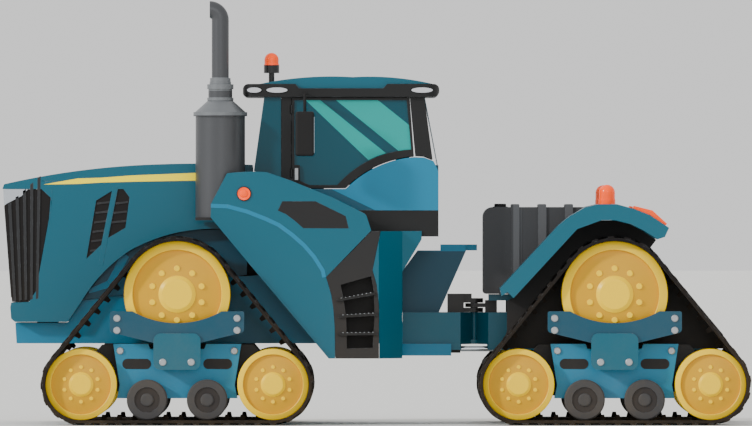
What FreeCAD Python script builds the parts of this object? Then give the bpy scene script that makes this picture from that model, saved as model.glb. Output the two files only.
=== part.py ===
"""Articulated farm tractor on four rubber-track units, built as separate pieces.

Millimetres. +X is forward, +Y is the tractor's left, +Z is up, and the origin is on the
ground under the middle of the overall length.
"""
import FreeCAD
import Part
import math
import os

os.makedirs("parts", exist_ok=True)

# ---- driving dimensions (mm and degrees) ----
FRONT_AXLE_TO_PIVOT = 2977      # front drive axle to the articulation pin
REAR_AXLE_TO_PIVOT = 1395       # articulation pin to the rear drive axle
NOSE_AHEAD_OF_AXLE = 1763       # hood nose ahead of the front axle
TRACK_GAUGE = 2238              # between the centre planes of the left and right belts
BELT_WIDTH = 762
BELT_THICKNESS = 49
DRIVE_WHEEL_R = 533
IDLER_R = 358
ROLLER_R = 204
IDLER_REACH = 959               # idler axle ahead of or behind the drive axle
ROLLER_REACH = 300              # mid roller axle ahead of or behind the drive axle
DRIVE_AXLE_Z = 1308
AXLE_TUBE_R = 140

HOOD_WIDTH = 1220
HOOD_WALL = 26
HOOD_REAR_U = -745              # rear edge of the hood, from the front axle
CAB_WIDTH = 1720
CAB_WALL = 50
CAB_FRONT_U = -765
CAB_REAR_U = -2614
CAB_FLOOR_Z = 1884
CAB_SILL_Z = 2147
CAB_HEADER_Z = 3284
GLASS_THICKNESS = 8
DOOR_THICKNESS = 40
PANEL_Y = 1200                  # outer face of the side panels, from the centre plane
PANEL_THICKNESS = 40
FRAME_WIDTH = 900
FRAME_BOTTOM_Z = 810
FRAME_TOP_Z = 1022
HINGE_BLOCK_WIDTH = 760
HINGE_BLOCK_BOTTOM_Z = 800
HINGE_BLOCK_TOP_Z = 1120
HINGE_PIN_R = 38
ROLL_AXIS_Z = 960
TRUNNION_R = 130
MUFFLER_R = 248
MUFFLER_Y = 890
TANK_WIDTH = 860
TANK_BOTTOM_Z = 1307
TANK_TOP_Z = 2180
FENDER_OUTER_Y = 1480
LINER_Y = 720
CYLINDER_Y = 230
CYLINDER_Z = 752
CYLINDER_R = 40
ROD_R = 25
DRAWBAR_Z = 440
DRAWBAR_HOLE_R = 21

# ---- clearances ----
RUNNING_FIT = 0.05              # radial, at pins, rods and trunnions
MOVING_GAP = 6                  # between pieces that move past each other
SEAM = 3                        # between fixed panels that meet
CONTACT_GAP = 0.5               # belt to wheel rim

# ---- places that follow from them ----
TRACK_HALF_LENGTH = IDLER_REACH + IDLER_R + BELT_THICKNESS
PIVOT_X = (REAR_AXLE_TO_PIVOT + TRACK_HALF_LENGTH - FRONT_AXLE_TO_PIVOT - NOSE_AHEAD_OF_AXLE) / 2
FRONT_X = PIVOT_X + FRONT_AXLE_TO_PIVOT
REAR_X = PIVOT_X - REAR_AXLE_TO_PIVOT
TRACK_Y = TRACK_GAUGE / 2
CAB_Y = CAB_WIDTH / 2

YAW_HALF_ANGLE = 20             # each hinge face falls away from square by this much

Vec = FreeCAD.Vector
ALONG_X = Vec(1, 0, 0)
ALONG_Y = Vec(0, 1, 0)
ALONG_Z = Vec(0, 0, 1)


# ---- outlines: (a, b) is a corner, (a, b, r) a rounded one, (am, bm, a, b) an arc to a, b ----
def outline(points):
    """A closed face in the XZ plane from corners, rounded corners and arcs."""
    corners = [Vec(p[-2], 0, p[-1]) if len(p) == 4 else Vec(p[0], 0, p[1]) for p in points]
    count = len(points)
    edges = []
    leaves = []
    for i, point in enumerate(points):
        here = corners[i]
        if len(point) != 3 or point[2] == 0:
            leaves.append((here, here, None))
            continue
        back = (corners[i - 1] - here).normalize()
        ahead = (corners[(i + 1) % count] - here).normalize()
        half = back.getAngle(ahead) / 2
        reach = point[2] / math.tan(half)
        middle = (back + ahead).normalize() * (point[2] / math.sin(half) - point[2])
        leaves.append((here + back * reach, here + ahead * reach, here + middle))
    for i, point in enumerate(points):
        enter, leave, middle = leaves[i]
        start = leaves[i - 1][1]
        if len(point) == 4:
            edges.append(Part.Arc(start, Vec(point[0], 0, point[1]), enter).toShape())
        elif (start - enter).Length > 1e-6:
            edges.append(Part.LineSegment(start, enter).toShape())
        if middle is not None:
            edges.append(Part.Arc(enter, middle, leave).toShape())
    return Part.Face(Part.Wire(edges))


def side_plate(points, y_low, y_high, x_shift=0.0):
    """Extrude an XZ outline from y_low to y_high."""
    face = outline(points)
    face.translate(Vec(x_shift, y_low, 0))
    return face.extrude(Vec(0, y_high - y_low, 0))


def plan_plate(points, z_low, z_high, x_shift=0.0):
    """Extrude an XY outline from z_low to z_high."""
    face = outline(points)
    face.rotate(Vec(0, 0, 0), ALONG_X, -90)
    face.translate(Vec(x_shift, 0, z_low))
    return face.extrude(Vec(0, 0, z_high - z_low))


def box(x_low, x_high, y_low, y_high, z_low, z_high):
    return Part.makeBox(x_high - x_low, y_high - y_low, z_high - z_low, Vec(x_low, y_low, z_low))


def rod_y(x, z, radius, y_low, y_high):
    return Part.makeCylinder(radius, y_high - y_low, Vec(x, y_low, z), ALONG_Y)


def rod_z(x, y, radius, z_low, z_high):
    return Part.makeCylinder(radius, z_high - z_low, Vec(x, y, z_low), ALONG_Z)


def rod_x(y, z, radius, x_low, x_high):
    return Part.makeCylinder(radius, x_high - x_low, Vec(x_low, y, z), ALONG_X)


def mirrored(shape):
    """The same piece on the other side of the centre plane."""
    return shape.mirror(Vec(0, 0, 0), ALONG_Y)


def pair(shape):
    return [shape, mirrored(shape)]


def fuse(shapes):
    joined = shapes[0].fuse(shapes[1:]) if len(shapes) > 1 else shapes[0]
    return joined.removeSplitter()


def front(points):
    """Shift an outline given from the front axle to its place."""
    return [(p[0] + FRONT_X, p[1], p[2] + FRONT_X, p[3]) if len(p) == 4
            else (p[0] + FRONT_X,) + tuple(p[1:]) for p in points]


def rear(points):
    """Shift an outline given from the rear axle to its place."""
    shift = REAR_X - FRONT_X
    return [(p[0] + shift, p[1], p[2] + shift, p[3]) if len(p) == 4
            else (p[0] + shift,) + tuple(p[1:]) for p in front(points)]


def save(node, shapes):
    """Write one node; its solids stay separate where they don't touch."""
    solids = []
    for shape in shapes:
        solids.extend(shape.Solids)
    shape = solids[0] if len(solids) == 1 else Part.makeCompound(solids)
    if not shape.isValid():
        raise ValueError(node + " is not a valid solid")
    shape.exportStep("parts/" + node + ".step")


# ---- track units: belt, wheels and frame turn together about the drive axle ----
def belt_loop(offset):
    """The area inside a belt line that runs offset outside all four wheel rims."""
    top = DRIVE_WHEEL_R + offset
    low = IDLER_R + offset
    idler_z = BELT_THICKNESS + IDLER_R
    span = math.hypot(IDLER_REACH, DRIVE_AXLE_Z - idler_z)
    slope = math.atan2(idler_z - DRIVE_AXLE_Z, IDLER_REACH) + math.acos((top - low) / span)
    nx, nz = math.cos(slope), math.sin(slope)
    half = slope / 2 - math.pi / 4
    mx, mz = math.cos(half), math.sin(half)
    return outline([
        (-IDLER_REACH, idler_z - low),
        (IDLER_REACH, idler_z - low),
        (IDLER_REACH + low * mx, idler_z + low * mz, IDLER_REACH + low * nx, idler_z + low * nz),
        (top * nx, DRIVE_AXLE_Z + top * nz),
        (0, DRIVE_AXLE_Z + top, -top * nx, DRIVE_AXLE_Z + top * nz),
        (-IDLER_REACH - low * nx, idler_z + low * nz),
        (-IDLER_REACH - low * mx, idler_z + low * mz, -IDLER_REACH, idler_z - low),
    ])


WHEEL_FACE_Y = 296              # outer face of every wheel rim, from the belt's centre plane
GUIDE_GROOVE = 120              # groove between the rims for the belt's guide lugs
GUIDE_GROOVE_DEPTH = 70
BEAM_HALF_WIDTH = 170
PLATE_SET = 6                   # cradle plate and bearing arm stand off the wheels by this much
CRADLE_THICKNESS = 28
PAD_THICKNESS = 26
ARM_THICKNESS = 30
WHEEL_BULGE = 44                # how far a drive wheel's coned face stands proud
IDLER_BULGE = 34
HUB_FACE_Y = WHEEL_FACE_Y + WHEEL_BULGE / 2
CRADLE_Y = WHEEL_FACE_Y + PLATE_SET
ARM_Y = HUB_FACE_Y + PLATE_SET
IDLER_Z = BELT_THICKNESS + IDLER_R
ROLLER_Z = BELT_THICKNESS + ROLLER_R
WHEEL_CLEARANCE = 14            # frame to drive wheel rim


def track_wheel(x, z, rim_r, disc_r, hub_r, bulge):
    """A twin-rim wheel with coned discs and hubs, grooved for the belt's guide lugs."""
    face = WHEEL_FACE_Y
    half = [
        (0, face + bulge / 2), (0.8 * hub_r, face + bulge / 2), (hub_r, face),
        (hub_r, face - 0.2 * bulge), (disc_r, face - bulge), (disc_r, face),
        (rim_r, face - 0.4 * bulge), (rim_r, GUIDE_GROOVE / 2),
        (rim_r - GUIDE_GROOVE_DEPTH, GUIDE_GROOVE / 2),
    ]
    ring = [Vec(r, y, 0) for r, y in half + [(r, -y) for r, y in reversed(half)]]
    wheel = Part.Face(Part.makePolygon(ring + [ring[0]])).revolve(Vec(0, 0, 0), ALONG_Y, 360)
    wheel.translate(Vec(x, 0, z))
    return wheel


def track_wheels():
    wheels = [track_wheel(0, DRIVE_AXLE_Z, DRIVE_WHEEL_R, 445, 186, WHEEL_BULGE)]
    for side in (-1, 1):
        wheels.append(track_wheel(side * IDLER_REACH, IDLER_Z, IDLER_R, 300, 124, IDLER_BULGE))
        roller_x = side * ROLLER_REACH
        wheels.append(rod_y(roller_x, ROLLER_Z, ROLLER_R, BEAM_HALF_WIDTH, WHEEL_FACE_Y))
        wheels.append(rod_y(roller_x, ROLLER_Z, ROLLER_R, -WHEEL_FACE_Y, -BEAM_HALF_WIDTH))
    return wheels


def track_frame():
    """Beam between the rollers, cradle and pad outboard, bearing arm on the axle tube inboard."""
    under_wheel = DRIVE_AXLE_Z - DRIVE_WHEEL_R - WHEEL_CLEARANCE
    beam_top = 811
    beam = side_plate([
        (-640, beam_top), (-575, 400), (-600, 268), (600, 268), (575, 400), (640, beam_top),
        (290, beam_top), (270, under_wheel), (-270, under_wheel), (-290, beam_top),
    ], -BEAM_HALF_WIDTH, BEAM_HALF_WIDTH)
    cradle = side_plate([
        (-670, 1138, 20), (-446, 1138), (0, 1020, 446, 1138), (670, 1138, 20),
        (670, 930, 40), (234, 823, 60), (-234, 823, 60), (-670, 930, 40),
    ], CRADLE_Y, CRADLE_Y + CRADLE_THICKNESS)
    pad_y = CRADLE_Y + CRADLE_THICKNESS
    pad = side_plate([(-235, 554, 73), (235, 554, 73), (235, 918, 73), (-235, 918, 73)],
                     pad_y, pad_y + PAD_THICKNESS)
    arm_y = -ARM_Y - ARM_THICKNESS
    arm = side_plate([
        (-1030, 330, 60), (1030, 330, 60), (1030, 480, 60), (760, 800), (230, 800),
        (230, DRIVE_AXLE_Z + 230, 200), (-230, DRIVE_AXLE_Z + 230, 200), (-230, 800),
        (-760, 800), (-1030, 480, 60),
    ], arm_y, -ARM_Y)
    bore = rod_y(0, DRIVE_AXLE_Z, AXLE_TUBE_R + RUNNING_FIT, arm_y - 1, -ARM_Y + 1)
    cross = box(-170, 170, -ARM_Y, pad_y, 560, under_wheel)
    stubs = [rod_y(s * IDLER_REACH, IDLER_Z, 60, -ARM_Y, -WHEEL_FACE_Y - IDLER_BULGE / 2)
             for s in (-1, 1)]
    return fuse([beam, cradle, pad, arm.cut(bore), cross] + stubs)


def belt():
    area = belt_loop(BELT_THICKNESS).cut(belt_loop(CONTACT_GAP))
    area.translate(Vec(0, -BELT_WIDTH / 2, 0))
    return area.extrude(Vec(0, BELT_WIDTH, 0))


def save_track(name, axle_x, is_left):
    for node, solids in (("belt", [belt()]), ("wheels", track_wheels()), ("frame", [track_frame()])):
        placed = []
        for solid in solids:
            solid.translate(Vec(axle_x, TRACK_Y, 0))
            placed.append(solid if is_left else mirrored(solid))
        save(name + "_" + node, placed)


for end, axle_x in (("front", FRONT_X), ("rear", REAR_X)):
    save_track(end + "_left_track", axle_x, True)
    save_track(end + "_right_track", axle_x, False)

AXLE_END_Y = TRACK_Y - HUB_FACE_Y - PLATE_SET


def axle(x, housing_bottom_z):
    """Drive axle tube with its central gear housing."""
    tube = rod_y(x, DRIVE_AXLE_Z, AXLE_TUBE_R, -AXLE_END_Y, AXLE_END_Y)
    housing = side_plate([
        (-230, housing_bottom_z), (230, housing_bottom_z), (230, 1470, 90), (-230, 1470, 90),
    ], -250, 250, x)
    return fuse([tube, housing])


save("front_axle", [axle(FRONT_X, FRAME_TOP_Z)])
save("rear_axle", [axle(REAR_X, HINGE_BLOCK_TOP_Z)])


# ---- front chassis: main frame, hinge block, engine ----
HINGE_BLOCK_FRONT_X = PIVOT_X + 722
HINGE_NOSE = 18                 # hinge face ahead of the pin
HINGE_NOSE_HALF = 45
LUG_R = 90
CHEEK_THICKNESS = 20
CHEEK_BOTTOM_Z = 744
LOWER_LUG_Z = (805, 845)
FORK_LOWER_Z = (1122, 1165)
KNUCKLE_Z = (1171, 1211)
FORK_UPPER_Z = (1217, 1262)
HEAD_TOP_Z = 1307
HEAD_HALF_WIDTH = 150


def wedge(length, half_width, z_low, z_high):
    """A block ahead of the pin whose end face falls away on both sides of the nose."""
    fall = (half_width - HINGE_NOSE_HALF) * math.tan(math.radians(YAW_HALF_ANGLE))
    return plan_plate([
        (length, half_width), (length, -half_width), (HINGE_NOSE + fall, -half_width),
        (HINGE_NOSE, -HINGE_NOSE_HALF), (HINGE_NOSE, HINGE_NOSE_HALF),
        (HINGE_NOSE + fall, half_width),
    ], z_low, z_high, PIVOT_X)


def hinge_core(length):
    """Wedge block with two side cheeks that hang below it."""
    half_width = HINGE_BLOCK_WIDTH / 2
    block = wedge(length, half_width, HINGE_BLOCK_BOTTOM_Z, HINGE_BLOCK_TOP_Z)
    skirt = wedge(length, half_width, CHEEK_BOTTOM_Z, HINGE_BLOCK_BOTTOM_Z)
    inner = half_width - CHEEK_THICKNESS
    skirt = skirt.cut(box(PIVOT_X - 10, PIVOT_X + length + 10, -inner, inner,
                          CHEEK_BOTTOM_Z - 1, HINGE_BLOCK_BOTTOM_Z))
    return [block, skirt]


def lug(z_range, reach):
    """A plate that ends round the pin."""
    z_low, z_high = z_range
    bar = box(PIVOT_X, PIVOT_X + reach, -LUG_R, LUG_R, z_low, z_high)
    return bar.fuse(rod_z(PIVOT_X, 0, LUG_R, z_low, z_high))


CYLINDER_EYE_X = PIVOT_X + 700
ROD_EYE_X = PIVOT_X - 230
EYE_PIN_R = 20


def hinge_block():
    pieces = hinge_core(HINGE_BLOCK_FRONT_X - PIVOT_X)
    notch = rod_z(PIVOT_X, 0, HINGE_PIN_R + 10, CHEEK_BOTTOM_Z, HINGE_BLOCK_TOP_Z + 1)
    pieces = [piece.cut(notch) for piece in pieces]
    head = box(PIVOT_X + 105, PIVOT_X + 270, -HEAD_HALF_WIDTH, HEAD_HALF_WIDTH,
               HINGE_BLOCK_TOP_Z, HEAD_TOP_Z)
    lugs = [lug(LOWER_LUG_Z, 140), lug(FORK_LOWER_Z, 140), lug(FORK_UPPER_Z, 140)]
    crown = box(PIVOT_X + 25, PIVOT_X + 110, -LUG_R, LUG_R, FORK_UPPER_Z[1], HEAD_TOP_Z)
    eyes = [rod_z(CYLINDER_EYE_X, side * CYLINDER_Y, EYE_PIN_R,
                  CYLINDER_Z - CYLINDER_R, HINGE_BLOCK_BOTTOM_Z) for side in (-1, 1)]
    bore = rod_z(PIVOT_X, 0, HINGE_PIN_R + RUNNING_FIT, LOWER_LUG_Z[0] - 1, HEAD_TOP_Z + 1)
    return fuse(pieces + [head, crown] + lugs + eyes).cut(bore)


def front_frame():
    half = FRAME_WIDTH / 2
    nose = FRONT_X + 1639
    rails = side_plate([
        (HINGE_BLOCK_FRONT_X, FRAME_BOTTOM_Z), (nose - 13, FRAME_BOTTOM_Z),
        (nose, FRAME_TOP_Z - MOVING_GAP), (HINGE_BLOCK_FRONT_X, FRAME_TOP_Z - MOVING_GAP),
    ], -half, half)
    cheek = side_plate(front([
        (1200, FRAME_TOP_Z - 40), (1110, FRAME_TOP_Z), (963, 1242), (536, 1299), (-500, 1477),
        (-1480, 1530), (-1480, FRAME_TOP_Z - 40),
    ]), half - CHEEK_THICKNESS, half)
    cheek = cheek.cut(rod_y(FRONT_X, DRIVE_AXLE_Z, AXLE_TUBE_R + 12, 0, half + 1))
    half_block = HINGE_BLOCK_WIDTH / 2
    beams = pair(box(PIVOT_X + 233, HINGE_BLOCK_FRONT_X + 60, half_block, half_block + 40, 686, 805))
    return fuse([rails] + pair(cheek) + beams)


def engine_block():
    """Engine and gearbox as plain blocks, with the radiator ahead of them."""
    engine = box(FRONT_X - 560, FRONT_X + 1150, -330, 330, 1480, 2250)
    gearbox = box(FRONT_X - 2200, FRONT_X - 600, -400, 400, FRAME_TOP_Z - MOVING_GAP,
                  CAB_FLOOR_Z - SEAM)
    mount = box(FRONT_X + 300, FRONT_X + 560, -300, 300, FRAME_TOP_Z - MOVING_GAP, 1480)
    radiator = box(FRONT_X + 1220, FRONT_X + 1420, -400, 400, FRAME_TOP_Z - MOVING_GAP, 2280)
    return [fuse([engine, mount]), gearbox, radiator]


def engine_shields():
    """Flat wheel-arch shields between the hood and the tracks."""
    shield = side_plate(front([
        (960, 1245), (536, 1302), (-420, 1466), (-690, 1500), (-690, 1955), (-120, 1950),
        (330, 1830), (620, 1653), (780, 1494),
    ]), 460, 480)
    return pair(shield.cut(rod_y(FRONT_X, DRIVE_AXLE_Z, AXLE_TUBE_R + 12, 450, 500)))


save("hinge_block", [hinge_block()])
save("front_frame", [front_frame()])
save("engine_block", engine_block())
save("engine_shields", engine_shields())


# ---- hood: top, sides, grille and lamps tilt together about the rear edge ----
HOOD_Y = HOOD_WIDTH / 2
HOOD_BOTTOM_Z = 1026
SHOULDER_Z = 2440
GRILLE_SET_BACK = 10
GRILLE_TOP_Z = 2358
GRILLE_BOTTOM_Z = 1228
LAMP_INNER_Y = 330
VENTS = [
    [(663, 2344), (823, 2246), (921, 1660), (773, 1800)],
    [(606, 2361), (549, 2361), (487, 2278), (529, 1972), (702, 1870)],
]


HOOD_AXIS_U = -700
HOOD_AXIS_Z = 2585


def hood_top():
    """The crowned top with a short turned-down edge on each side."""
    skin = HOOD_WALL
    cap = side_plate(front([
        (1763, GRILLE_TOP_Z + SEAM), (1763, 2370), (1747, 2410), (773, 2571, 203, 2609),
        (-177, 2617, HOOD_REAR_U, 2604), (HOOD_REAR_U, SHOULDER_Z + SEAM),
        (1370, SHOULDER_Z + SEAM), (1370, GRILLE_TOP_Z + SEAM),
    ]), -HOOD_Y, HOOD_Y)
    hollow = side_plate(front([
        (1763 - skin, 2300), (1763 - skin, 2370 - skin), (1747 - skin, 2410 - skin),
        (773, 2571 - skin, 203, 2609 - skin), (-177, 2617 - skin, HOOD_REAR_U - 1, 2604 - skin),
        (HOOD_REAR_U - 1, 2300),
    ]), -HOOD_Y + skin, HOOD_Y - skin)
    hinge_rod = rod_y(FRONT_X + HOOD_AXIS_U, HOOD_AXIS_Z, 12, -HOOD_Y + 60, HOOD_Y - 60)
    return fuse([cap.cut(hollow), hinge_rod])


def hood_side():
    side = side_plate(front([
        (1370, GRILLE_TOP_Z), (1265, 2260), (1269, 2214), (1429, 1334), (1499, 1226),
        (1677, 1220), (1686, 1175), (1677, 1060), (1639, HOOD_BOTTOM_Z), (1110, HOOD_BOTTOM_Z),
        (963, 1245), (778, 1494, 482, 1745), (161, 1883, -416, 1961), (HOOD_REAR_U, 1961),
        (HOOD_REAR_U, SHOULDER_Z), (1370, SHOULDER_Z),
    ]), HOOD_Y - HOOD_WALL, HOOD_Y)
    for vent in VENTS:
        side = side.cut(side_plate(front(vent), 0, HOOD_Y + 1))
    return side


def bumper():
    """Cross piece that closes the nose under the grille."""
    return side_plate(front([
        (1677, 1220), (1686, 1175), (1677, 1060), (1639, HOOD_BOTTOM_Z), (1600, HOOD_BOTTOM_Z),
        (1600, 1220),
    ]), -HOOD_Y + HOOD_WALL, HOOD_Y - HOOD_WALL)


def hood_grilles():
    inner = HOOD_Y - HOOD_WALL
    outer = HOOD_Y - GRILLE_SET_BACK
    flank = side_plate(front([
        (1748, 2190), (1668, GRILLE_BOTTOM_Z), (1502, GRILLE_BOTTOM_Z), (1433, 1334),
        (1273, 2214), (1269, 2257), (1368, GRILLE_TOP_Z), (1505, GRILLE_TOP_Z), (1600, 2286),
    ]), inner, outer)
    face = side_plate(front([
        (1748, 2190), (1668, GRILLE_BOTTOM_Z), (1640, GRILLE_BOTTOM_Z), (1720, 2190),
    ]), -inner, inner)
    brow = side_plate(front([
        (1758, GRILLE_TOP_Z), (1748, 2190), (1720, 2190), (1730, GRILLE_TOP_Z),
    ]), -LAMP_INNER_Y + SEAM, LAMP_INNER_Y - SEAM)
    vents = [side_plate(front(vent), HOOD_Y - HOOD_WALL, outer) for vent in VENTS]
    pieces = [fuse([face, brow, flank, mirrored(flank)])]
    for vent in vents:
        pieces.extend(pair(vent))
    return pieces


def headlamp():
    return side_plate(front([
        (1757, GRILLE_TOP_Z), (1748, 2194), (1604, 2290), (1512, GRILLE_TOP_Z),
    ]), LAMP_INNER_Y, HOOD_Y - SEAM)


save("hood_top", [hood_top()])
hood_shell = fuse([hood_side(), mirrored(hood_side()), bumper()])
save("hood_sides", [hood_shell])
save("hood_grilles", [piece.cut(hood_shell) for piece in hood_grilles()])
save("headlamps", pair(headlamp()))


# ---- exhaust stack beside the hood, with an elbow at its mouth ----
STACK_U = -427
PIPE_R = 86
PIPE_WALL = 6
MOUTH_U = -321
ELBOW_Z = 4053
MUFFLER_BOTTOM_Z = 2077


def exhaust_stack():
    x = FRONT_X + STACK_U
    elbow_r = MOUTH_U - STACK_U
    steps = [
        (0, MUFFLER_BOTTOM_Z), (MUFFLER_R, MUFFLER_BOTTOM_Z), (MUFFLER_R, 3090),
        (MUFFLER_R + 22, 3090), (MUFFLER_R + 22, 3131), (MUFFLER_R + 6, 3131), (126, 3246),
        (132, 3246), (132, 3275), (120, 3275), (120, 3362), (132, 3362), (132, 3410),
        (108, 3410), (108, 3436), (103, 3436), (103, 3473), (PIPE_R, 3473), (PIPE_R, ELBOW_Z),
        (0, ELBOW_Z),
    ]
    ring = [Vec(r, 0, z) for r, z in steps]
    body = Part.Face(Part.makePolygon(ring + [ring[0]])).revolve(Vec(0, 0, 0), ALONG_Z, 360)
    bore = Part.makeCylinder(PIPE_R - PIPE_WALL, ELBOW_Z - 3600, Vec(0, 0, 3600))
    body = body.cut(bore)

    def elbow(radius):
        circle = Part.Face(Part.Wire(Part.makeCircle(radius, Vec(0, 0, ELBOW_Z), ALONG_Z)))
        return circle.revolve(Vec(elbow_r, 0, ELBOW_Z), ALONG_Y, 90)

    mouth = elbow(PIPE_R).cut(elbow(PIPE_R - PIPE_WALL))
    stack = fuse([body, mouth])
    stack.translate(Vec(x, MUFFLER_Y, 0))
    return stack


save("exhaust_stack", [exhaust_stack()])


# ---- side panels, mudguard boxes and the step well ----
PANEL_BOTTOM_Z = 664
PANEL_INNER_Y = PANEL_Y - PANEL_THICKNESS
BOX_INNER_Y = FRAME_WIDTH / 2 + 30
WELL_DEPTH = 260
WELL_FRONT = [(-1578, PANEL_BOTTOM_Z), (-1574, 981), (-1561, 1160), (-1540, 1300), (-1488, 1479)]
WELL_BACK = [(-1944, 1938), (-2031, 1938), (-1951, 1549), (-1992, 1402), (-2015, 1198),
             (-2018, PANEL_BOTTOM_Z)]
CORNER_TAPER_Y = 930


def side_panel():
    return side_plate(front([
        (-497, 2518, 15), (-690, 2533, -897, 2528), (-1132, 2446), (-1482, 2304), (-1560, 2272),
        (-1887, 2108, 60), (-1940, 1945), (-1488, 1479), (-1540, 1300), (-1561, 1160),
        (-1574, 981), (-1578, PANEL_BOTTOM_Z), (-1514, PANEL_BOTTOM_Z), (-1227, 1007),
        (-770, 1550), (-332, 2077), (-337, 2214, 60),
    ]), PANEL_INNER_Y, PANEL_Y)


def cab_envelope():
    """Space kept for the cab floor tub."""
    return box(FRONT_X + CAB_REAR_U - SEAM, FRONT_X + CAB_FRONT_U + SEAM, -CAB_Y - SEAM, CAB_Y + SEAM,
               CAB_FLOOR_Z - SEAM, CAB_SILL_Z)


def corner_panel():
    """Panel behind the steps: its face slants inward so that the rear track can swing past."""
    body = side_plate(front([
        (-2034, 1938), (-2445, 1940), (-2445, 1855, 30), (-2251, 1530), (-2251, PANEL_BOTTOM_Z),
        (-2021, PANEL_BOTTOM_Z), (-2018, 1198), (-1995, 1402), (-1954, 1549),
    ]), BOX_INNER_Y, PANEL_Y)
    x0 = FRONT_X - 2015
    x1 = FRONT_X - 2251
    slant = plan_plate([
        (x0 + 90, PANEL_Y), (x0, PANEL_Y), (x1, CORNER_TAPER_Y),
        (x1 - 250, CORNER_TAPER_Y - 60), (x1 - 250, 0), (x0 + 90, 0),
    ], 0, 3000)
    return body.common(slant).cut(cab_envelope())


def mudguard_box():
    """Closed locker behind the side panel; its front face is the mudguard over the track."""
    locker = side_plate(front([
        (-700, 1632), (-1227, 1007), (-1514, PANEL_BOTTOM_Z), (-1575, PANEL_BOTTOM_Z),
        (-1575, CAB_FLOOR_Z - SEAM), (-700, CAB_FLOOR_Z - SEAM),
    ]), BOX_INNER_Y, PANEL_INNER_Y)
    return locker.cut(well_body(False))


def muffler_shelf():
    return side_plate(front([
        (-180, MUFFLER_BOTTOM_Z - 30), (-180, MUFFLER_BOTTOM_Z), (-696, MUFFLER_BOTTOM_Z),
        (-696, CAB_FLOOR_Z - 60), (-676, CAB_FLOOR_Z - 60), (-676, MUFFLER_BOTTOM_Z - 30),
    ]), BOX_INNER_Y + 180, PANEL_INNER_Y)


RECESS = [(-1633, 1402), (-1939, 1489), (-1967, 1326), (-1973, 1083), (-1954, 771),
          (-1696, 764), (-1689, 1070), (-1667, 1236)]
TREADS = [(-1594, 1233, -1980, 1302), (-1610, 1070, -2005, 1095), (-1607, 894, -2008, 900)]
TREAD_THICKNESS = 26


def well_body(is_open):
    front_edge = [(u - SEAM, z) for u, z in WELL_FRONT]
    body = side_plate(front(front_edge + WELL_BACK), BOX_INNER_Y, PANEL_Y).cut(cab_envelope())
    if is_open:
        body = body.cut(side_plate(front(RECESS), PANEL_Y - WELL_DEPTH, PANEL_Y + 1))
    return body


def cab_steps():
    treads = []
    for front_u, front_z, back_u, back_z in TREADS:
        tread = side_plate(front([
            (front_u, front_z), (back_u, back_z), (back_u, back_z + TREAD_THICKNESS),
            (front_u, front_z + TREAD_THICKNESS),
        ]), PANEL_Y + 0.5, PANEL_Y + 24)
        inner = side_plate(front([
            (max(-1690, front_u) - 30, front_z), (back_u + 70, back_z),
            (back_u + 70, back_z + TREAD_THICKNESS),
            (max(-1690, front_u) - 30, front_z + TREAD_THICKNESS),
        ]), PANEL_Y - WELL_DEPTH + 1, PANEL_Y + 1)
        treads.append(fuse([tread, inner]).cut(well_body(True)))
    return treads


save("side_panels", pair(side_panel()) + pair(corner_panel()))
save("mudguard_boxes", pair(mudguard_box()) + [mirrored(well_body(False)), muffler_shelf()])
save("step_well", [well_body(True)])
save("cab_steps", cab_steps())


# ---- cab: floor tub, walls, posts, glass and roof ----
DOOR_HINGE_U = -1142
DOOR_BOTTOM_Z = 2370
BAND_LOW = [(-1680, DOOR_BOTTOM_Z), (-1950, 2572, -2368, 2690)]
REAR_POST = [(-2331, CAB_HEADER_Z), (-2385, 2696), (-2470, 2690), (-2555, 2656),
             (-2472, CAB_HEADER_Z)]


def cab_floor():
    tub = box(FRONT_X + CAB_REAR_U, FRONT_X + CAB_FRONT_U, -CAB_Y, CAB_Y,
              CAB_FLOOR_Z, CAB_SILL_Z)
    hollow = box(FRONT_X + CAB_REAR_U + CAB_WALL, FRONT_X + CAB_FRONT_U - CAB_WALL,
                 -CAB_Y + CAB_WALL, CAB_Y - CAB_WALL, CAB_FLOOR_Z + CAB_WALL, CAB_SILL_Z + 1)
    return tub.cut(hollow)


def cab_side_wall():
    """Wall below the door and the quarter panel behind it."""
    return side_plate(front([
        (CAB_FRONT_U, CAB_SILL_Z), (CAB_FRONT_U, 2538), (-1035, 2452), (-1140, 2410),
        (-1300, 2362), (-1684, 2362), (-1950, 2560, -2372, 2680), (-2470, 2676),
        (-2566, 2640, 20), (CAB_REAR_U, 2533, 60), (CAB_REAR_U, CAB_SILL_Z),
    ]), CAB_Y - CAB_WALL, CAB_Y)


def cab_end_walls():
    inner = CAB_Y - CAB_WALL
    front_wall = box(FRONT_X + CAB_FRONT_U - CAB_WALL, FRONT_X + CAB_FRONT_U,
                     -inner, inner, CAB_SILL_Z, 2536)
    rear_wall = box(FRONT_X + CAB_REAR_U, FRONT_X + CAB_REAR_U + CAB_WALL,
                    -inner, inner, CAB_SILL_Z, 2600)
    return [front_wall, rear_wall]


DOOR_AXIS_U = -1142
DOOR_AXIS_Y = 862
KNUCKLE_R = 12
KNUCKLE_LENGTH = 80


def door_knuckles(radius, margin):
    """Round hinge knuckles on the door axis, or the notches that clear them."""
    return [rod_z(FRONT_X + DOOR_AXIS_U, DOOR_AXIS_Y, radius, z - margin, z + KNUCKLE_LENGTH + margin)
            for z in (2480, 3120)]


def cab_posts():
    inner = CAB_Y - CAB_WALL
    front_post = side_plate(front([
        (-1038, 2456), (-1136, 2416), (-1136, CAB_HEADER_Z), (-1038, CAB_HEADER_Z),
    ]), inner, CAB_Y)
    for notch in door_knuckles(KNUCKLE_R + MOVING_GAP, MOVING_GAP):
        front_post = front_post.cut(notch)
    rear_post = side_plate(front(REAR_POST), inner, CAB_Y)
    return pair(front_post) + pair(rear_post)


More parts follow.
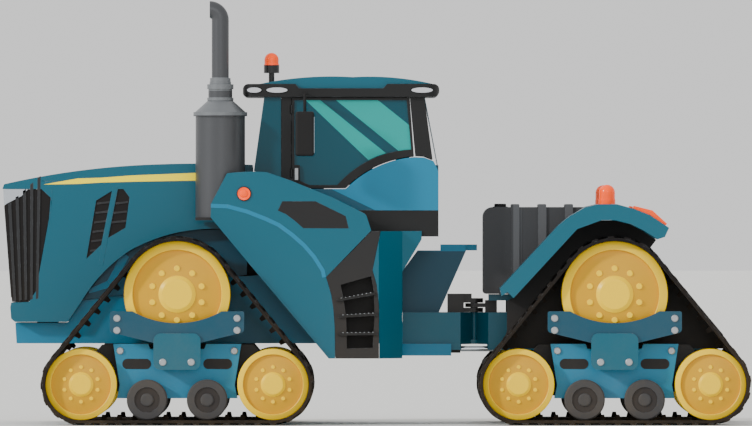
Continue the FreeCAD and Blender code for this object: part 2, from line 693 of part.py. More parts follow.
def windscreen():
    """One pane across the front with a return on each side as far as the posts."""
    top_z = CAB_HEADER_Z - SEAM
    outer = side_plate(front([
        (CAB_FRONT_U + 2, 2541), (-866, top_z), (-1035, top_z), (-1035, 2458),
    ]), -CAB_Y + 4, CAB_Y - 4)
    glass = GLASS_THICKNESS
    inner = side_plate(front([
        (CAB_FRONT_U + 2 - glass, 2300), (CAB_FRONT_U + 2 - glass, 2541), (-866 - glass, top_z + 1),
        (-1100, top_z + 1), (-1100, 2300),
    ]), -CAB_Y + 4 + glass, CAB_Y - 4 - glass)
    return outer.cut(inner)


def rear_window():
    half = CAB_Y - CAB_WALL - SEAM
    return side_plate(front([
        (-2606, 2603), (-2478, CAB_HEADER_Z - SEAM), (-2478 + GLASS_THICKNESS, CAB_HEADER_Z - SEAM),
        (-2606 + GLASS_THICKNESS, 2603),
    ]), -half, half)


DOOR_OUTLINE = [(DOOR_HINGE_U, 3278), (DOOR_HINGE_U, 2440), (-1300, DOOR_BOTTOM_Z)] + BAND_LOW + [
    (-2325, 3278)]
DOOR_GLASS = [(-1168, 3252), (-1168, 2470), (-1320, 2400), (-1600, 2400),
              (-1926, 2650, -2340, 2756), (-2296, 3252)]


def door_frame(outer_y, thickness):
    frame = side_plate(front(DOOR_OUTLINE), outer_y - thickness, outer_y)
    frame = frame.cut(side_plate(front(DOOR_GLASS), outer_y - thickness - 1, outer_y + 1))
    return fuse([frame] + door_knuckles(KNUCKLE_R, 0))


def door_glass(outer_y, thickness):
    middle = outer_y - thickness / 2
    return side_plate(front(DOOR_GLASS), middle - GLASS_THICKNESS / 2, middle + GLASS_THICKNESS / 2)


def roof_rail():
    plan = plan_plate([
        (-652, 900, 140), (-2623, 900, 140), (-2623, -900, 140), (-652, -900, 140),
    ], CAB_HEADER_Z, 3420, FRONT_X)
    side = side_plate(front([
        (-652, CAB_HEADER_Z, 40), (-2623, CAB_HEADER_Z, 60), (-2623, 3414, 55), (-2100, 3414),
        (-2060, 3370), (-1213, 3370), (-1180, 3414), (-652, 3414, 55),
    ]), -901, 901)
    return plan.common(side)


def cab_roof():
    return side_plate(front([
        (-820, 3414), (-1200, 3473, -1757, 3483), (-2230, 3471, -2551, 3416), (-2100, 3414),
        (-2060, 3370), (-1213, 3370), (-1180, 3414),
    ]), -850, 850)


def cab_beacon():
    x = FRONT_X - 939
    y = 620
    stem = rod_z(x, y, 29, 3414, 3530)
    bowl = rod_z(x, y, 78, 3525, 3612)
    lens = rod_z(x, y, 72, 3612, 3660)
    dome = Part.makeSphere(72, Vec(x, y, 3657))
    return fuse([stem, bowl, lens, dome])


MIRROR_Y = 1365
ROOF_RAIL_Y = 900


def mirror():
    head = box(FRONT_X - 1370, FRONT_X - 1183, MIRROR_Y - 120, MIRROR_Y + 120, 2690, 3133)
    head = head.makeFillet(24, head.Edges)
    arm = rod_y(FRONT_X - 1276, 3322, 15, ROOF_RAIL_Y, MIRROR_Y + 15)
    drop = rod_z(FRONT_X - 1276, MIRROR_Y, 15, 3100, 3322)
    return fuse([head, arm, drop])


def seat():
    """Soft cushion and backrest, closed solids with a gap between them."""
    x = FRONT_X - 2150
    cushion = box(x, x + 480, -250, 250, 2360, 2470)
    cushion = cushion.makeFillet(40, cushion.Edges)
    back = side_plate([(x - 110, 2475), (x - 10, 2475), (x - 90, 3060), (x - 180, 3060)],
                      -230, 230)
    return [cushion, back]


def cab_controls():
    """Seat pedestal, and the steering column with its wheel."""
    x = FRONT_X - 2150
    base = box(x + 40, x + 440, -200, 200, CAB_FLOOR_Z + CAB_WALL, 2359)
    column = side_plate(front([
        (-1250, CAB_FLOOR_Z + CAB_WALL), (-1430, CAB_FLOOR_Z + CAB_WALL), (-1480, 2600),
        (-1380, 2640),
    ]), -130, 130)
    wheel = Part.makeTorus(200, 16, Vec(FRONT_X - 1500, 0, 2700), Vec(-0.4, 0, 1))
    hub = Part.makeCylinder(24, 120, Vec(FRONT_X - 1460, 0, 2600), Vec(-0.4, 0, 1))
    spoke = Part.makeCylinder(11, 400, Vec(FRONT_X - 1500, -200, 2700), ALONG_Y)
    return [base, fuse([column, hub, wheel, spoke])]


def rear_deck():
    """Hose guide over the articulation: two plates and a narrow shelf."""
    plates = pair(side_plate(front([
        (-2251, HINGE_BLOCK_TOP_Z), (-2620, HINGE_BLOCK_TOP_Z), (-2895, 1743), (-2407, 1743),
        (-2251, 1530),
    ]), 155, 190))
    shelf = box(FRONT_X - 2890, FRONT_X - 2637, -190, 190, 1743, 1803)
    tip = box(FRONT_X - 3005, FRONT_X - 2890, -75, 75, 1743, 1803)
    tie = box(FRONT_X - 2300, FRONT_X - 2251, -190, 190, HINGE_BLOCK_TOP_Z, 1530)
    return fuse(plates + [shelf, tip, tie])


save("cab_floor", [cab_floor()])
save("cab_side_walls", pair(cab_side_wall()))
save("cab_end_walls", cab_end_walls())
save("cab_posts", cab_posts())
save("windscreen", [windscreen()])
save("rear_window", [rear_window()])
save("roof_rail", [roof_rail()])
save("cab_roof", [cab_roof()])
save("cab_beacon", [cab_beacon().cut(cab_roof())])
save("mirrors", pair(mirror()))
save("operator_seat", seat())
save("cab_controls", cab_controls())
save("rear_deck", [rear_deck()])
save("left_door_frame", [door_frame(CAB_Y, DOOR_THICKNESS)])
save("left_door_glass", [door_glass(CAB_Y, DOOR_THICKNESS)])
save("right_window_frame", [mirrored(door_frame(CAB_Y, DOOR_THICKNESS))])
save("right_window_glass", [mirrored(door_glass(CAB_Y, DOOR_THICKNESS))])


# ---- articulation yoke and steering cylinders ----
YOKE_REAR_X = PIVOT_X - 720
TRUNNION_LENGTH = 240


def flipped(shape):
    """The same piece turned to the rear side of the pin."""
    return shape.mirror(Vec(PIVOT_X, 0, 0), ALONG_X)


def articulation_yoke():
    blocks = [flipped(piece) for piece in hinge_core(PIVOT_X - YOKE_REAR_X)]
    notch = rod_z(PIVOT_X, 0, LUG_R + MOVING_GAP, LOWER_LUG_Z[0] - MOVING_GAP,
                  LOWER_LUG_Z[1] + MOVING_GAP)
    blocks = [block.cut(notch) for block in blocks]
    pin = rod_z(PIVOT_X, 0, HINGE_PIN_R, HINGE_BLOCK_BOTTOM_Z, FORK_UPPER_Z[1])
    knuckle = flipped(lug(KNUCKLE_Z, 229))
    pedestal = box(PIVOT_X - 229, PIVOT_X - 110, -HEAD_HALF_WIDTH, HEAD_HALF_WIDTH,
                   HINGE_BLOCK_TOP_Z, 1242)
    trunnion = rod_x(0, ROLL_AXIS_Z, TRUNNION_R, YOKE_REAR_X - TRUNNION_LENGTH, YOKE_REAR_X + 1)
    return fuse(blocks + [knuckle, pedestal, trunnion, pin])


def cylinder_barrel(side):
    y = side * CYLINDER_Y
    tube = rod_x(y, CYLINDER_Z, CYLINDER_R, CYLINDER_EYE_X - 560, CYLINDER_EYE_X)
    eye = rod_z(CYLINDER_EYE_X, y, CYLINDER_R, CYLINDER_Z - CYLINDER_R, CYLINDER_Z + CYLINDER_R)
    hollow = rod_x(y, CYLINDER_Z, ROD_R + RUNNING_FIT, CYLINDER_EYE_X - 561, CYLINDER_EYE_X - 60)
    pin_hole = rod_z(CYLINDER_EYE_X, y, EYE_PIN_R + RUNNING_FIT, CYLINDER_Z - 60, CYLINDER_Z + 60)
    return tube.fuse(eye).cut(hollow).cut(pin_hole)


def cylinder_rod(side):
    y = side * CYLINDER_Y
    bar = rod_x(y, CYLINDER_Z, ROD_R, ROD_EYE_X, CYLINDER_EYE_X - 260)
    eye = rod_z(ROD_EYE_X, y, CYLINDER_R, CYLINDER_Z - ROD_R, CYLINDER_Z + ROD_R)
    return fuse([bar, eye])


save("articulation_yoke", [articulation_yoke()])
for name, side in (("left", 1), ("right", -1)):
    save(name + "_steering_barrel", [cylinder_barrel(side)])
    save(name + "_steering_rod", [cylinder_rod(side)])


# ---- rear chassis: frame, tank, fenders, lamps and drawbar ----
REAR_FRAME_FRONT_X = YOKE_REAR_X - 15
REAR_FRAME_REAR_X = REAR_X - 900
HANGER_U = -880
DRAWBAR_PIN_U = -300
DRAWBAR_END_U = -1340


def rear_frame():
    half = HINGE_BLOCK_WIDTH / 2
    core = box(REAR_FRAME_REAR_X, REAR_FRAME_FRONT_X, -half, half, CHEEK_BOTTOM_Z,
               HINGE_BLOCK_TOP_Z - SEAM)
    bore = rod_x(0, ROLL_AXIS_Z, TRUNNION_R + RUNNING_FIT, REAR_FRAME_FRONT_X - 260,
                 REAR_FRAME_FRONT_X + 1)
    post = box(REAR_FRAME_FRONT_X - 120, REAR_FRAME_FRONT_X, -330, 330,
               HINGE_BLOCK_TOP_Z - SEAM, 1300)
    rails = pair(box(REAR_FRAME_FRONT_X, REAR_X + 1250, 250, 330, 1240, 1300))
    cross = box(REAR_X - 60, REAR_X + 60, -LINER_Y + 31, LINER_Y - 31, 1520, 1600)
    riser = box(REAR_X - 60, REAR_X + 60, -200, 200, 1473, 1600)
    return [core.cut(bore).fuse([post] + rails).removeSplitter(), fuse([cross, riser])]


def fuel_tank():
    tank = side_plate(rear([
        (1309, TANK_BOTTOM_Z, 30), (1309, TANK_TOP_Z, 100), (260, TANK_TOP_Z, 60),
        (260, TANK_BOTTOM_Z),
    ]), -TANK_WIDTH / 2, TANK_WIDTH / 2)
    ribs = []
    for u in (984, 714, 444):
        ribs.append(side_plate(rear([
            (u - 41, TANK_BOTTOM_Z), (u + 41, TANK_BOTTOM_Z), (u + 41, TANK_TOP_Z + 30, 12),
            (u - 41, TANK_TOP_Z + 30, 12),
        ]), -TANK_WIDTH / 2 - 20, TANK_WIDTH / 2 + 20))
    return fuse([tank] + ribs)


def rear_fender():
    """Curved guard over the belt with a turned-down lip on both sides."""
    lower = [(1071, 1330), (1011, 1270), (376, 1959), (133, 2048), (-7, 2048), (-160, 2010),
             (-288, 1946), (-428, 1857), (-500, 1880), (-543, 1972), (-351, 2099), (-186, 2163),
             (-20, 2208), (159, 2208), (299, 2176), (452, 2086), (554, 2004), (1147, 1366),
             (1130, 1290)]
    skin = [(1100, 1225), (1011, 1150), (376, 1840), (133, 1960), (-7, 1960), (-160, 1930),
            (-428, 1700), (-428, 1857), (-288, 1992), (-160, 2060), (-7, 2100), (133, 2100),
            (376, 2012), (1040, 1310)]
    guard = side_plate(rear(lower), LINER_Y - 30, FENDER_OUTER_Y)
    return guard.cut(side_plate(rear(skin), LINER_Y, FENDER_OUTER_Y - 40))


def fender_liner():
    liner = side_plate(rear([
        (1011, 1268), (376, 1957), (133, 2046), (-7, 2046), (-160, 2008), (-288, 1944),
        (-428, 1850), (-371, 1774), (-1100, 900), (-1100, 760), (1120, 760), (1071, 940),
        (1071, 1240),
    ]), LINER_Y - 30, LINER_Y)
    return liner.cut(rod_y(REAR_X, DRIVE_AXLE_Z, AXLE_TUBE_R + 12, 0, LINER_Y + 1))


def rear_lamps():
    y = FENDER_OUTER_Y - 260
    housing = side_plate(rear([
        (-180, 2168), (-190, 2192, 8), (-377, 2146), (-524, 2012), (-500, 1990), (-350, 2104),
    ]), y - 90, y + 200)
    beacon = fuse([rod_z(REAR_X + 74, y, 84, 2209, 2256), rod_z(REAR_X + 74, y, 80, 2256, 2330),
                   Part.makeSphere(80, Vec(REAR_X + 74, y, 2324))])
    return pair(housing.cut(rear_fender())) + pair(beacon)


def drawbar_support():
    """Pin block under the frame, and a hanger whose window the drawbar swings in."""
    x = REAR_X + DRAWBAR_PIN_U
    block = box(x - 90, x + 90, -90, 90, DRAWBAR_Z + 50 + MOVING_GAP, CHEEK_BOTTOM_Z)
    pin = rod_z(x, 0, 30, DRAWBAR_Z, DRAWBAR_Z + 60)
    hanger = box(REAR_X + HANGER_U, REAR_X + HANGER_U + 50, -320, 320, 380, CHEEK_BOTTOM_Z)
    window = box(REAR_X + HANGER_U - 1, REAR_X + HANGER_U + 51, -260, 260,
                 DRAWBAR_Z - MOVING_GAP, DRAWBAR_Z + 50 + MOVING_GAP)
    return [fuse([block, pin]), hanger.cut(window)]


def drawbar():
    pin_x = REAR_X + DRAWBAR_PIN_U
    bar = box(REAR_X + DRAWBAR_END_U + 60, pin_x + 60, -60, 60, DRAWBAR_Z, DRAWBAR_Z + 50)
    tip = rod_z(REAR_X + DRAWBAR_END_U + 60, 0, 60, DRAWBAR_Z, DRAWBAR_Z + 50)
    bar = bar.fuse(tip)
    bar = bar.cut(rod_z(pin_x, 0, 30 + RUNNING_FIT, DRAWBAR_Z - 1, DRAWBAR_Z + 51))
    return bar.cut(rod_z(REAR_X + DRAWBAR_END_U + 60, 0, DRAWBAR_HOLE_R,
                         DRAWBAR_Z - 1, DRAWBAR_Z + 51))


save("rear_frame", rear_frame())
save("fuel_tank", [fuel_tank()])
save("rear_fenders", pair(rear_fender()))
save("fender_liners", pair(fender_liner()))
save("rear_lamps", rear_lamps())
save("drawbar_support", drawbar_support())
save("drawbar", [drawbar()])
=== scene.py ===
"""Looks of an articulated tracked farm tractor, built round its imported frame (metres)."""
import math

import bmesh
import bpy
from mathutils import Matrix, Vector


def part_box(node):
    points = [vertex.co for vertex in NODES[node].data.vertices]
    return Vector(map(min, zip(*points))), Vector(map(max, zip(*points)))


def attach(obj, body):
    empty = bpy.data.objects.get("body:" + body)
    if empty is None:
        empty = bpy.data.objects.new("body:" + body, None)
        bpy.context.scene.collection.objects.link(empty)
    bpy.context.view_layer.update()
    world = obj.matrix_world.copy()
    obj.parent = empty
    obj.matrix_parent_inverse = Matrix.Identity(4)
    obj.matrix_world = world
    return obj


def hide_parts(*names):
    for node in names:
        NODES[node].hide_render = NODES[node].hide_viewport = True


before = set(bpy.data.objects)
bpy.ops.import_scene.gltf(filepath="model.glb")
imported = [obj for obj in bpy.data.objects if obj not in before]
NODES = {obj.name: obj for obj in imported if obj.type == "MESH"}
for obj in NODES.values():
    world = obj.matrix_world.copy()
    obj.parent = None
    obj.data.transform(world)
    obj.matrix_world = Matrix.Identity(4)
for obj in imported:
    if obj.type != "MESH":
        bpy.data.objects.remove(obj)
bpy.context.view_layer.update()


# ---- Viewpoint and studio ----
# A long lens from the left side at mid height, a pale floor, a soft sky
# and a key light from the nose end that models the coned wheel faces.
CAMERA_DISTANCE = 150.0
VIEW_WIDTH = 7.52
VIEW_HEIGHT = 4.26
NEAR_PLANE_Y = 1.25
camera_data = bpy.data.cameras.new("side_camera")
camera = bpy.data.objects.new("side_camera", camera_data)
bpy.context.scene.collection.objects.link(camera)
camera_data.sensor_width = 36.0
camera_data.lens = 36.0 * CAMERA_DISTANCE / VIEW_WIDTH
camera_data.clip_end = 600.0
camera.location = (0.0, NEAR_PLANE_Y + CAMERA_DISTANCE, VIEW_HEIGHT / 2 - 0.01)
camera.rotation_euler = (math.radians(90), 0.0, math.radians(180))
bpy.context.scene.camera = camera

world = bpy.data.worlds.new("studio_sky")
world.use_nodes = True
world.node_tree.nodes["Background"].inputs["Color"].default_value = (1.0, 1.0, 1.0, 1.0)
world.node_tree.nodes["Background"].inputs["Strength"].default_value = 0.95
bpy.context.scene.world = world


def sun(name, direction, strength, angle):
    data = bpy.data.lights.new(name, "SUN")
    data.energy = strength
    data.angle = math.radians(angle)
    lamp = bpy.data.objects.new(name, data)
    lamp.rotation_mode = "QUATERNION"
    lamp.rotation_quaternion = Vector(direction).to_track_quat("-Z", "Y")
    bpy.context.scene.collection.objects.link(lamp)


sun("key_light", (-1.0, -0.6, -0.55), 2.1, 5)
sun("fill_light", (0.1, -1.0, -0.3), 0.3, 25)


SATURATION = 1.4
PAINT_DEPTH = 1.38


def rgb(code):
    """Linear colour from a #rrggbb paint code, made stronger and deeper for the bright studio."""
    parts = [int(code[i:i + 2], 16) / 255 for i in (1, 3, 5)]
    linear = [p / 12.92 if p <= 0.04045 else ((p + 0.055) / 1.055) ** 2.4 for p in parts]
    grey = sum(linear) / 3
    return tuple(max(0.0, grey + (p - grey) * SATURATION) ** PAINT_DEPTH for p in linear)


def new_group(name, inputs, outputs):
    """A shader node group with float, colour or vector sockets."""
    group = bpy.data.node_groups.new(name, "ShaderNodeTree")
    kinds = {"f": "NodeSocketFloat", "c": "NodeSocketColor", "v": "NodeSocketVector"}
    for label, kind in inputs:
        group.interface.new_socket(name=label, in_out="INPUT", socket_type=kinds[kind])
    for label, kind in outputs:
        group.interface.new_socket(name=label, in_out="OUTPUT", socket_type=kinds[kind])
    return group, group.nodes.new("NodeGroupInput"), group.nodes.new("NodeGroupOutput")


def node(tree, kind, values=None, **settings):
    made = tree.nodes.new("ShaderNode" + kind)
    for key, value in settings.items():
        setattr(made, key, value)
    for key, value in (values or {}).items():
        made.inputs[key].default_value = value
    return made


def math_node(tree, operation, first, second=None):
    made = node(tree, "Math", operation=operation)
    for index, value in enumerate((first, second)):
        if isinstance(value, (int, float)):
            made.inputs[index].default_value = value
        elif value is not None:
            tree.links.new(value, made.inputs[index])
    return made.outputs[0]


# Field dust: settles low on the machine and in a broad mottle, and dulls the gloss.
dust_group, dust_in, dust_out = new_group(
    "field_dust", [("Color", "c"), ("Amount", "f"), ("Gloss Roughness", "f"), ("Grain", "f")],
    [("Color", "c"), ("Roughness", "f"), ("Height", "f")])
coords = node(dust_group, "TexCoord")
mottle = node(dust_group, "TexNoise", {"Scale": 1.7, "Detail": 6.0, "Roughness": 0.62})
speck = node(dust_group, "TexNoise", {"Detail": 3.0, "Roughness": 0.6})
dust_group.links.new(coords.outputs["Object"], mottle.inputs["Vector"])
dust_group.links.new(coords.outputs["Object"], speck.inputs["Vector"])
dust_group.links.new(dust_in.outputs["Grain"], speck.inputs["Scale"])
split = node(dust_group, "SeparateXYZ")
dust_group.links.new(coords.outputs["Object"], split.inputs[0])
low = node(dust_group, "MapRange", {"From Min": 0.0, "From Max": 1.7, "To Min": 1.0, "To Max": 0.12})
dust_group.links.new(split.outputs["Z"], low.inputs["Value"])
patch = node(dust_group, "MapRange", {"From Min": 0.38, "From Max": 0.72, "To Min": 0.25, "To Max": 1.0})
dust_group.links.new(mottle.outputs["Fac"], patch.inputs["Value"])
fine = node(dust_group, "MapRange", {"From Min": 0.35, "From Max": 0.75, "To Min": 0.6, "To Max": 1.0})
dust_group.links.new(speck.outputs["Fac"], fine.inputs["Value"])
cover = math_node(dust_group, "MULTIPLY", low.outputs[0], patch.outputs[0])
cover = math_node(dust_group, "MULTIPLY", cover, fine.outputs[0])
cover = math_node(dust_group, "MULTIPLY", cover, dust_in.outputs["Amount"])
tint = node(dust_group, "Mix", data_type="RGBA")
tint.inputs[7].default_value = rgb("#a89880") + (1.0,)
dust_group.links.new(cover, tint.inputs["Factor"])
dust_group.links.new(dust_in.outputs["Color"], tint.inputs[6])
dust_group.links.new(tint.outputs[2], dust_out.inputs["Color"])
rough = math_node(dust_group, "MULTIPLY_ADD", cover, 0.6)
dust_group.links.new(dust_in.outputs["Gloss Roughness"], rough.node.inputs[2])
dust_group.links.new(rough, dust_out.inputs["Roughness"])
dust_group.links.new(speck.outputs["Fac"], dust_out.inputs["Height"])

# Edge wear: rubbed corners show a paler base coat, broken up by a fine scratch noise.
wear_group, wear_in, wear_out = new_group(
    "edge_wear", [("Color", "c"), ("Worn Color", "c"), ("Amount", "f")], [("Color", "c")])
flat_geo = node(wear_group, "NewGeometry")
round_edge = node(wear_group, "Bevel", {"Radius": 0.008}, samples=4)
agree = node(wear_group, "VectorMath", operation="DOT_PRODUCT")
wear_group.links.new(flat_geo.outputs["Normal"], agree.inputs[0])
wear_group.links.new(round_edge.outputs["Normal"], agree.inputs[1])
edge = node(wear_group, "MapRange", {"From Min": 0.985, "From Max": 0.88})
wear_group.links.new(agree.outputs["Value"], edge.inputs["Value"])
scuff = node(wear_group, "TexNoise", {"Scale": 22.0, "Detail": 4.0})
scuff_coords = node(wear_group, "TexCoord")
wear_group.links.new(scuff_coords.outputs["Object"], scuff.inputs["Vector"])
broken = node(wear_group, "MapRange", {"From Min": 0.5, "From Max": 0.62})
wear_group.links.new(scuff.outputs["Fac"], broken.inputs["Value"])
worn = math_node(wear_group, "MULTIPLY", edge.outputs[0], broken.outputs[0])
worn = math_node(wear_group, "MULTIPLY", worn, wear_in.outputs["Amount"])
worn_mix = node(wear_group, "Mix", data_type="RGBA")
wear_group.links.new(worn, worn_mix.inputs["Factor"])
wear_group.links.new(wear_in.outputs["Color"], worn_mix.inputs[6])
wear_group.links.new(wear_in.outputs["Worn Color"], worn_mix.inputs[7])
wear_group.links.new(worn_mix.outputs[2], wear_out.inputs["Color"])


SHEEN = 0.28
COAT_SHARE = 0.25
DUST_SHARE = 0.45
RELIEF_DEPTH = 0.002


def finish(name, code, roughness=0.35, dust=0.25, grain=60.0, bump=0.02, metallic=0.0, coat=0.0,
           wear=0.4, worn="#8f9396", colour_source=None):
    """A weathered finish: colour, edge wear, field dust and a fine surface relief."""
    made = bpy.data.materials.new(name)
    made.use_nodes = True
    tree = made.node_tree
    shader = tree.nodes["Principled BSDF"]
    shader.inputs["Metallic"].default_value = metallic
    shader.inputs["Specular IOR Level"].default_value = SHEEN
    shader.inputs["Coat Weight"].default_value = coat * COAT_SHARE
    shader.inputs["Coat Roughness"].default_value = 0.12
    wear_node = node(tree, "Group", node_tree=wear_group)
    wear_node.inputs["Color"].default_value = rgb(code) + (1.0,)
    wear_node.inputs["Worn Color"].default_value = rgb(worn) + (1.0,)
    wear_node.inputs["Amount"].default_value = wear
    dust_node = node(tree, "Group", node_tree=dust_group)
    dust_node.inputs["Amount"].default_value = dust * DUST_SHARE
    dust_node.inputs["Gloss Roughness"].default_value = roughness
    dust_node.inputs["Grain"].default_value = grain
    if colour_source is not None:
        tree.links.new(colour_source(tree), wear_node.inputs["Color"])
    relief = node(tree, "Bump", {"Strength": bump * 10, "Distance": RELIEF_DEPTH})
    tree.links.new(wear_node.outputs["Color"], dust_node.inputs["Color"])
    tree.links.new(dust_node.outputs["Color"], shader.inputs["Base Color"])
    tree.links.new(dust_node.outputs["Roughness"], shader.inputs["Roughness"])
    tree.links.new(dust_node.outputs["Height"], relief.inputs["Height"])
    tree.links.new(relief.outputs["Normal"], shader.inputs["Normal"])
    return made


def paint_node(name, *materials):
    """Give a frame node its finish in place of the plain one."""
    slots = NODES[name].data.materials
    slots.clear()
    for made in materials:
        slots.append(made)


floor_paint = finish("studio_floor", "#f4f4f2", roughness=0.75, dust=0.0, grain=3.0, wear=0.0)
floor_mesh = bpy.data.meshes.new("studio_floor")
FLOOR_R = 400.0
floor_mesh.from_pydata([(-FLOOR_R, -FLOOR_R, 0), (FLOOR_R, -FLOOR_R, 0), (FLOOR_R, FLOOR_R, 0),
                        (-FLOOR_R, FLOOR_R, 0)], [], [(0, 1, 2, 3)])
floor_mesh.materials.append(floor_paint)
floor = bpy.data.objects.new("studio_floor", floor_mesh)
bpy.context.scene.collection.objects.link(floor)


def add_piece(name, bm, body, slot, *materials, smooth=False, bevel=0.0):
    """Turn a bmesh into an object that rides on a body of the frame."""
    mesh = bpy.data.meshes.new(name)
    bm.to_mesh(mesh)
    bm.free()
    for made in materials:
        mesh.materials.append(made)
    if smooth:
        for face in mesh.polygons:
            face.use_smooth = True
    piece = bpy.data.objects.new(name, mesh)
    bpy.context.scene.collection.objects.link(piece)
    if bevel:
        rounding = piece.modifiers.new("rounding", "BEVEL")
        rounding.width = bevel
        rounding.segments = 2
        rounding.limit_method = "ANGLE"
    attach(piece, body)
    return piece


def add_prism(bm, points, y_low, y_high, index=0):
    """Extrude an XZ outline between two Y planes into the bmesh."""
    near = [bm.verts.new((x, y_low, z)) for x, z in points]
    far = [bm.verts.new((x, y_high, z)) for x, z in points]
    count = len(points)
    faces = [bm.faces.new(near), bm.faces.new(list(reversed(far)))]
    for i in range(count):
        j = (i + 1) % count
        faces.append(bm.faces.new((near[i], far[i], far[j], near[j])))
    for face in faces:
        face.material_index = index


def add_lathe(bm, centre, profile, side=1, segments=64, axis="y"):
    """Turn (radius, offset, material) rings about an axis through the centre."""
    rings = []
    for radius, offset, _ in profile:
        ring = []
        for i in range(segments):
            angle = 2 * math.pi * i / segments
            a, b = radius * math.cos(angle), radius * math.sin(angle)
            if axis == "y":
                spot = (centre[0] + a, centre[1] + side * offset, centre[2] + b)
            else:
                spot = (centre[0] + a, centre[1] + b, centre[2] + side * offset)
            ring.append(bm.verts.new(spot))
        rings.append(ring)
    for k in range(len(rings) - 1):
        for i in range(segments):
            j = (i + 1) % segments
            face = bm.faces.new((rings[k][i], rings[k][j], rings[k + 1][j], rings[k + 1][i]))
            face.material_index = profile[k + 1][2]
    first = bm.faces.new(rings[0])
    first.material_index = profile[0][2]
    last = bm.faces.new(list(reversed(rings[-1])))
    last.material_index = profile[-1][2]


def tidy(bm):
    bmesh.ops.recalc_face_normals(bm, faces=bm.faces)
    return bm


FRONT_X = (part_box("front_axle")[0][0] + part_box("front_axle")[1][0]) / 2
REAR_X = (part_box("rear_axle")[0][0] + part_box("rear_axle")[1][0]) / 2
AXLE_Z = 1.308


# ---- Track units ----
# Steel drive wheels and idlers in yellow with amber discs, twin rubber-tyred mid rollers,
# a bolted frame with cradle and pad, and a moulded rubber belt with lugs and guide blocks.
TRACK_Y = 1.119
BELT_HALF = 0.381
BELT_T = 0.049
LUG_HEIGHT = 0.017
DRIVE_R = 0.533
IDLER_R = 0.358
IDLER_REACH = 0.959
IDLER_Z = 0.407
ROLLER_R = 0.204
ROLLER_X = 0.300
WHEEL_FACE = 0.296
yellow = finish("rim_yellow", "#f2d800", roughness=0.32, dust=0.3, coat=0.3, wear=0.5)
amber = finish("disc_amber", "#d2b24e", roughness=0.36, dust=0.3, coat=0.3, wear=0.3)
roller_grey = finish("roller_rubber", "#5b5c5e", roughness=0.7, dust=0.45, grain=90.0, bump=0.03)
roller_dark = finish("roller_face", "#444243", roughness=0.55, dust=0.3)
bolt_steel = finish("bolt_zinc", "#bdbfc1", roughness=0.35, dust=0.2, metallic=0.5, wear=0.2)
belt_black = finish("belt_rubber", "#231f20", roughness=0.8, dust=0.4, grain=120.0, bump=0.05)
# Dark grey: painted shade inside the beam slots, and the own colour of the side panels' dark inset.
slot_shade_and_inset_grey = finish("painted_slot_shade_and_inset_grey", "#414142", roughness=0.7, dust=0.2)


def frame_colour(tree):
    """Light beam, dark grey bearing arm, dark cradle and mid pad, by depth across the unit."""
    place = node(tree, "TexCoord")
    axes = node(tree, "SeparateXYZ")
    tree.links.new(place.outputs["Object"], axes.inputs[0])
    across = math_node(tree, "SUBTRACT", math_node(tree, "ABSOLUTE", axes.outputs["Y"]), TRACK_Y)
    current = None
    for limit, code in ((-0.30, "#3691a8"), (0.299, "#0e6474"), (0.3305, "#127583")):
        mix = node(tree, "Mix", data_type="RGBA")
        mix.inputs[6].default_value = rgb("#414142") + (1.0,)
        if current is not None:
            tree.links.new(current, mix.inputs[6])
        mix.inputs[7].default_value = rgb(code) + (1.0,)
        tree.links.new(math_node(tree, "GREATER_THAN", across, limit), mix.inputs["Factor"])
        current = mix.outputs[2]
    return current


track_frame_paint = finish("track_frame_paint", "#3691a8", roughness=0.34, dust=0.4, coat=0.3,
                           colour_source=frame_colour)


def wheel_profile(rim, disc, hub, bulge):
    """Outer half of a wheel from its hub cap round to the guide groove."""
    face = WHEEL_FACE
    return [
        (hub * 0.72, face + bulge * 0.5, 0), (hub * 0.8, face + bulge * 0.48, 0), (hub * 0.97, face, 0),
        (hub, face - 0.004, 0), (hub, face - 0.2 * bulge, 0), (disc - 0.004, face - bulge, 1),
        (disc, face - bulge + 0.002, 1), (disc, face - 0.003, 0), (disc + 0.004, face, 0),
        (rim - 0.006, face - 0.4 * bulge, 0), (rim - 0.001, face - 0.4 * bulge - 0.006, 0),
        (rim - 0.001, 0.060, 0), (rim - 0.07, 0.060, 0),
    ]


def add_wheel(bm, x, y, z, sizes):
    half = wheel_profile(*sizes)
    ring = half + [(r, -o, m) for r, o, m in reversed(half)]
    add_lathe(bm, (x, y, z), ring, segments=96)


def add_bolts(bm, x, y, z, count, circle, radius, height, side, index=0):
    for i in range(count):
        a = 2 * math.pi * i / count
        spot = (x + circle * math.sin(a), y, z + circle * math.cos(a))
        add_lathe(bm, spot, [(radius, -0.02, index), (radius, height * 0.6, index),
                             (radius * 0.8, height, index)], side=side, segments=16)


def belt_legs():
    """Angle of the front tangent's normal, and the lengths of the six legs of the loop."""
    span = math.hypot(IDLER_REACH, AXLE_Z - IDLER_Z)
    slope = math.atan2(IDLER_Z - AXLE_Z, IDLER_REACH) + math.acos((DRIVE_R - IDLER_R) / span)
    straight = math.sqrt(span ** 2 - (DRIVE_R - IDLER_R) ** 2)
    arc_low = IDLER_R * (slope + math.pi / 2)
    arc_top = DRIVE_R * (math.pi - 2 * slope)
    return slope, [2 * IDLER_REACH, arc_low, straight, arc_top, straight, arc_low]


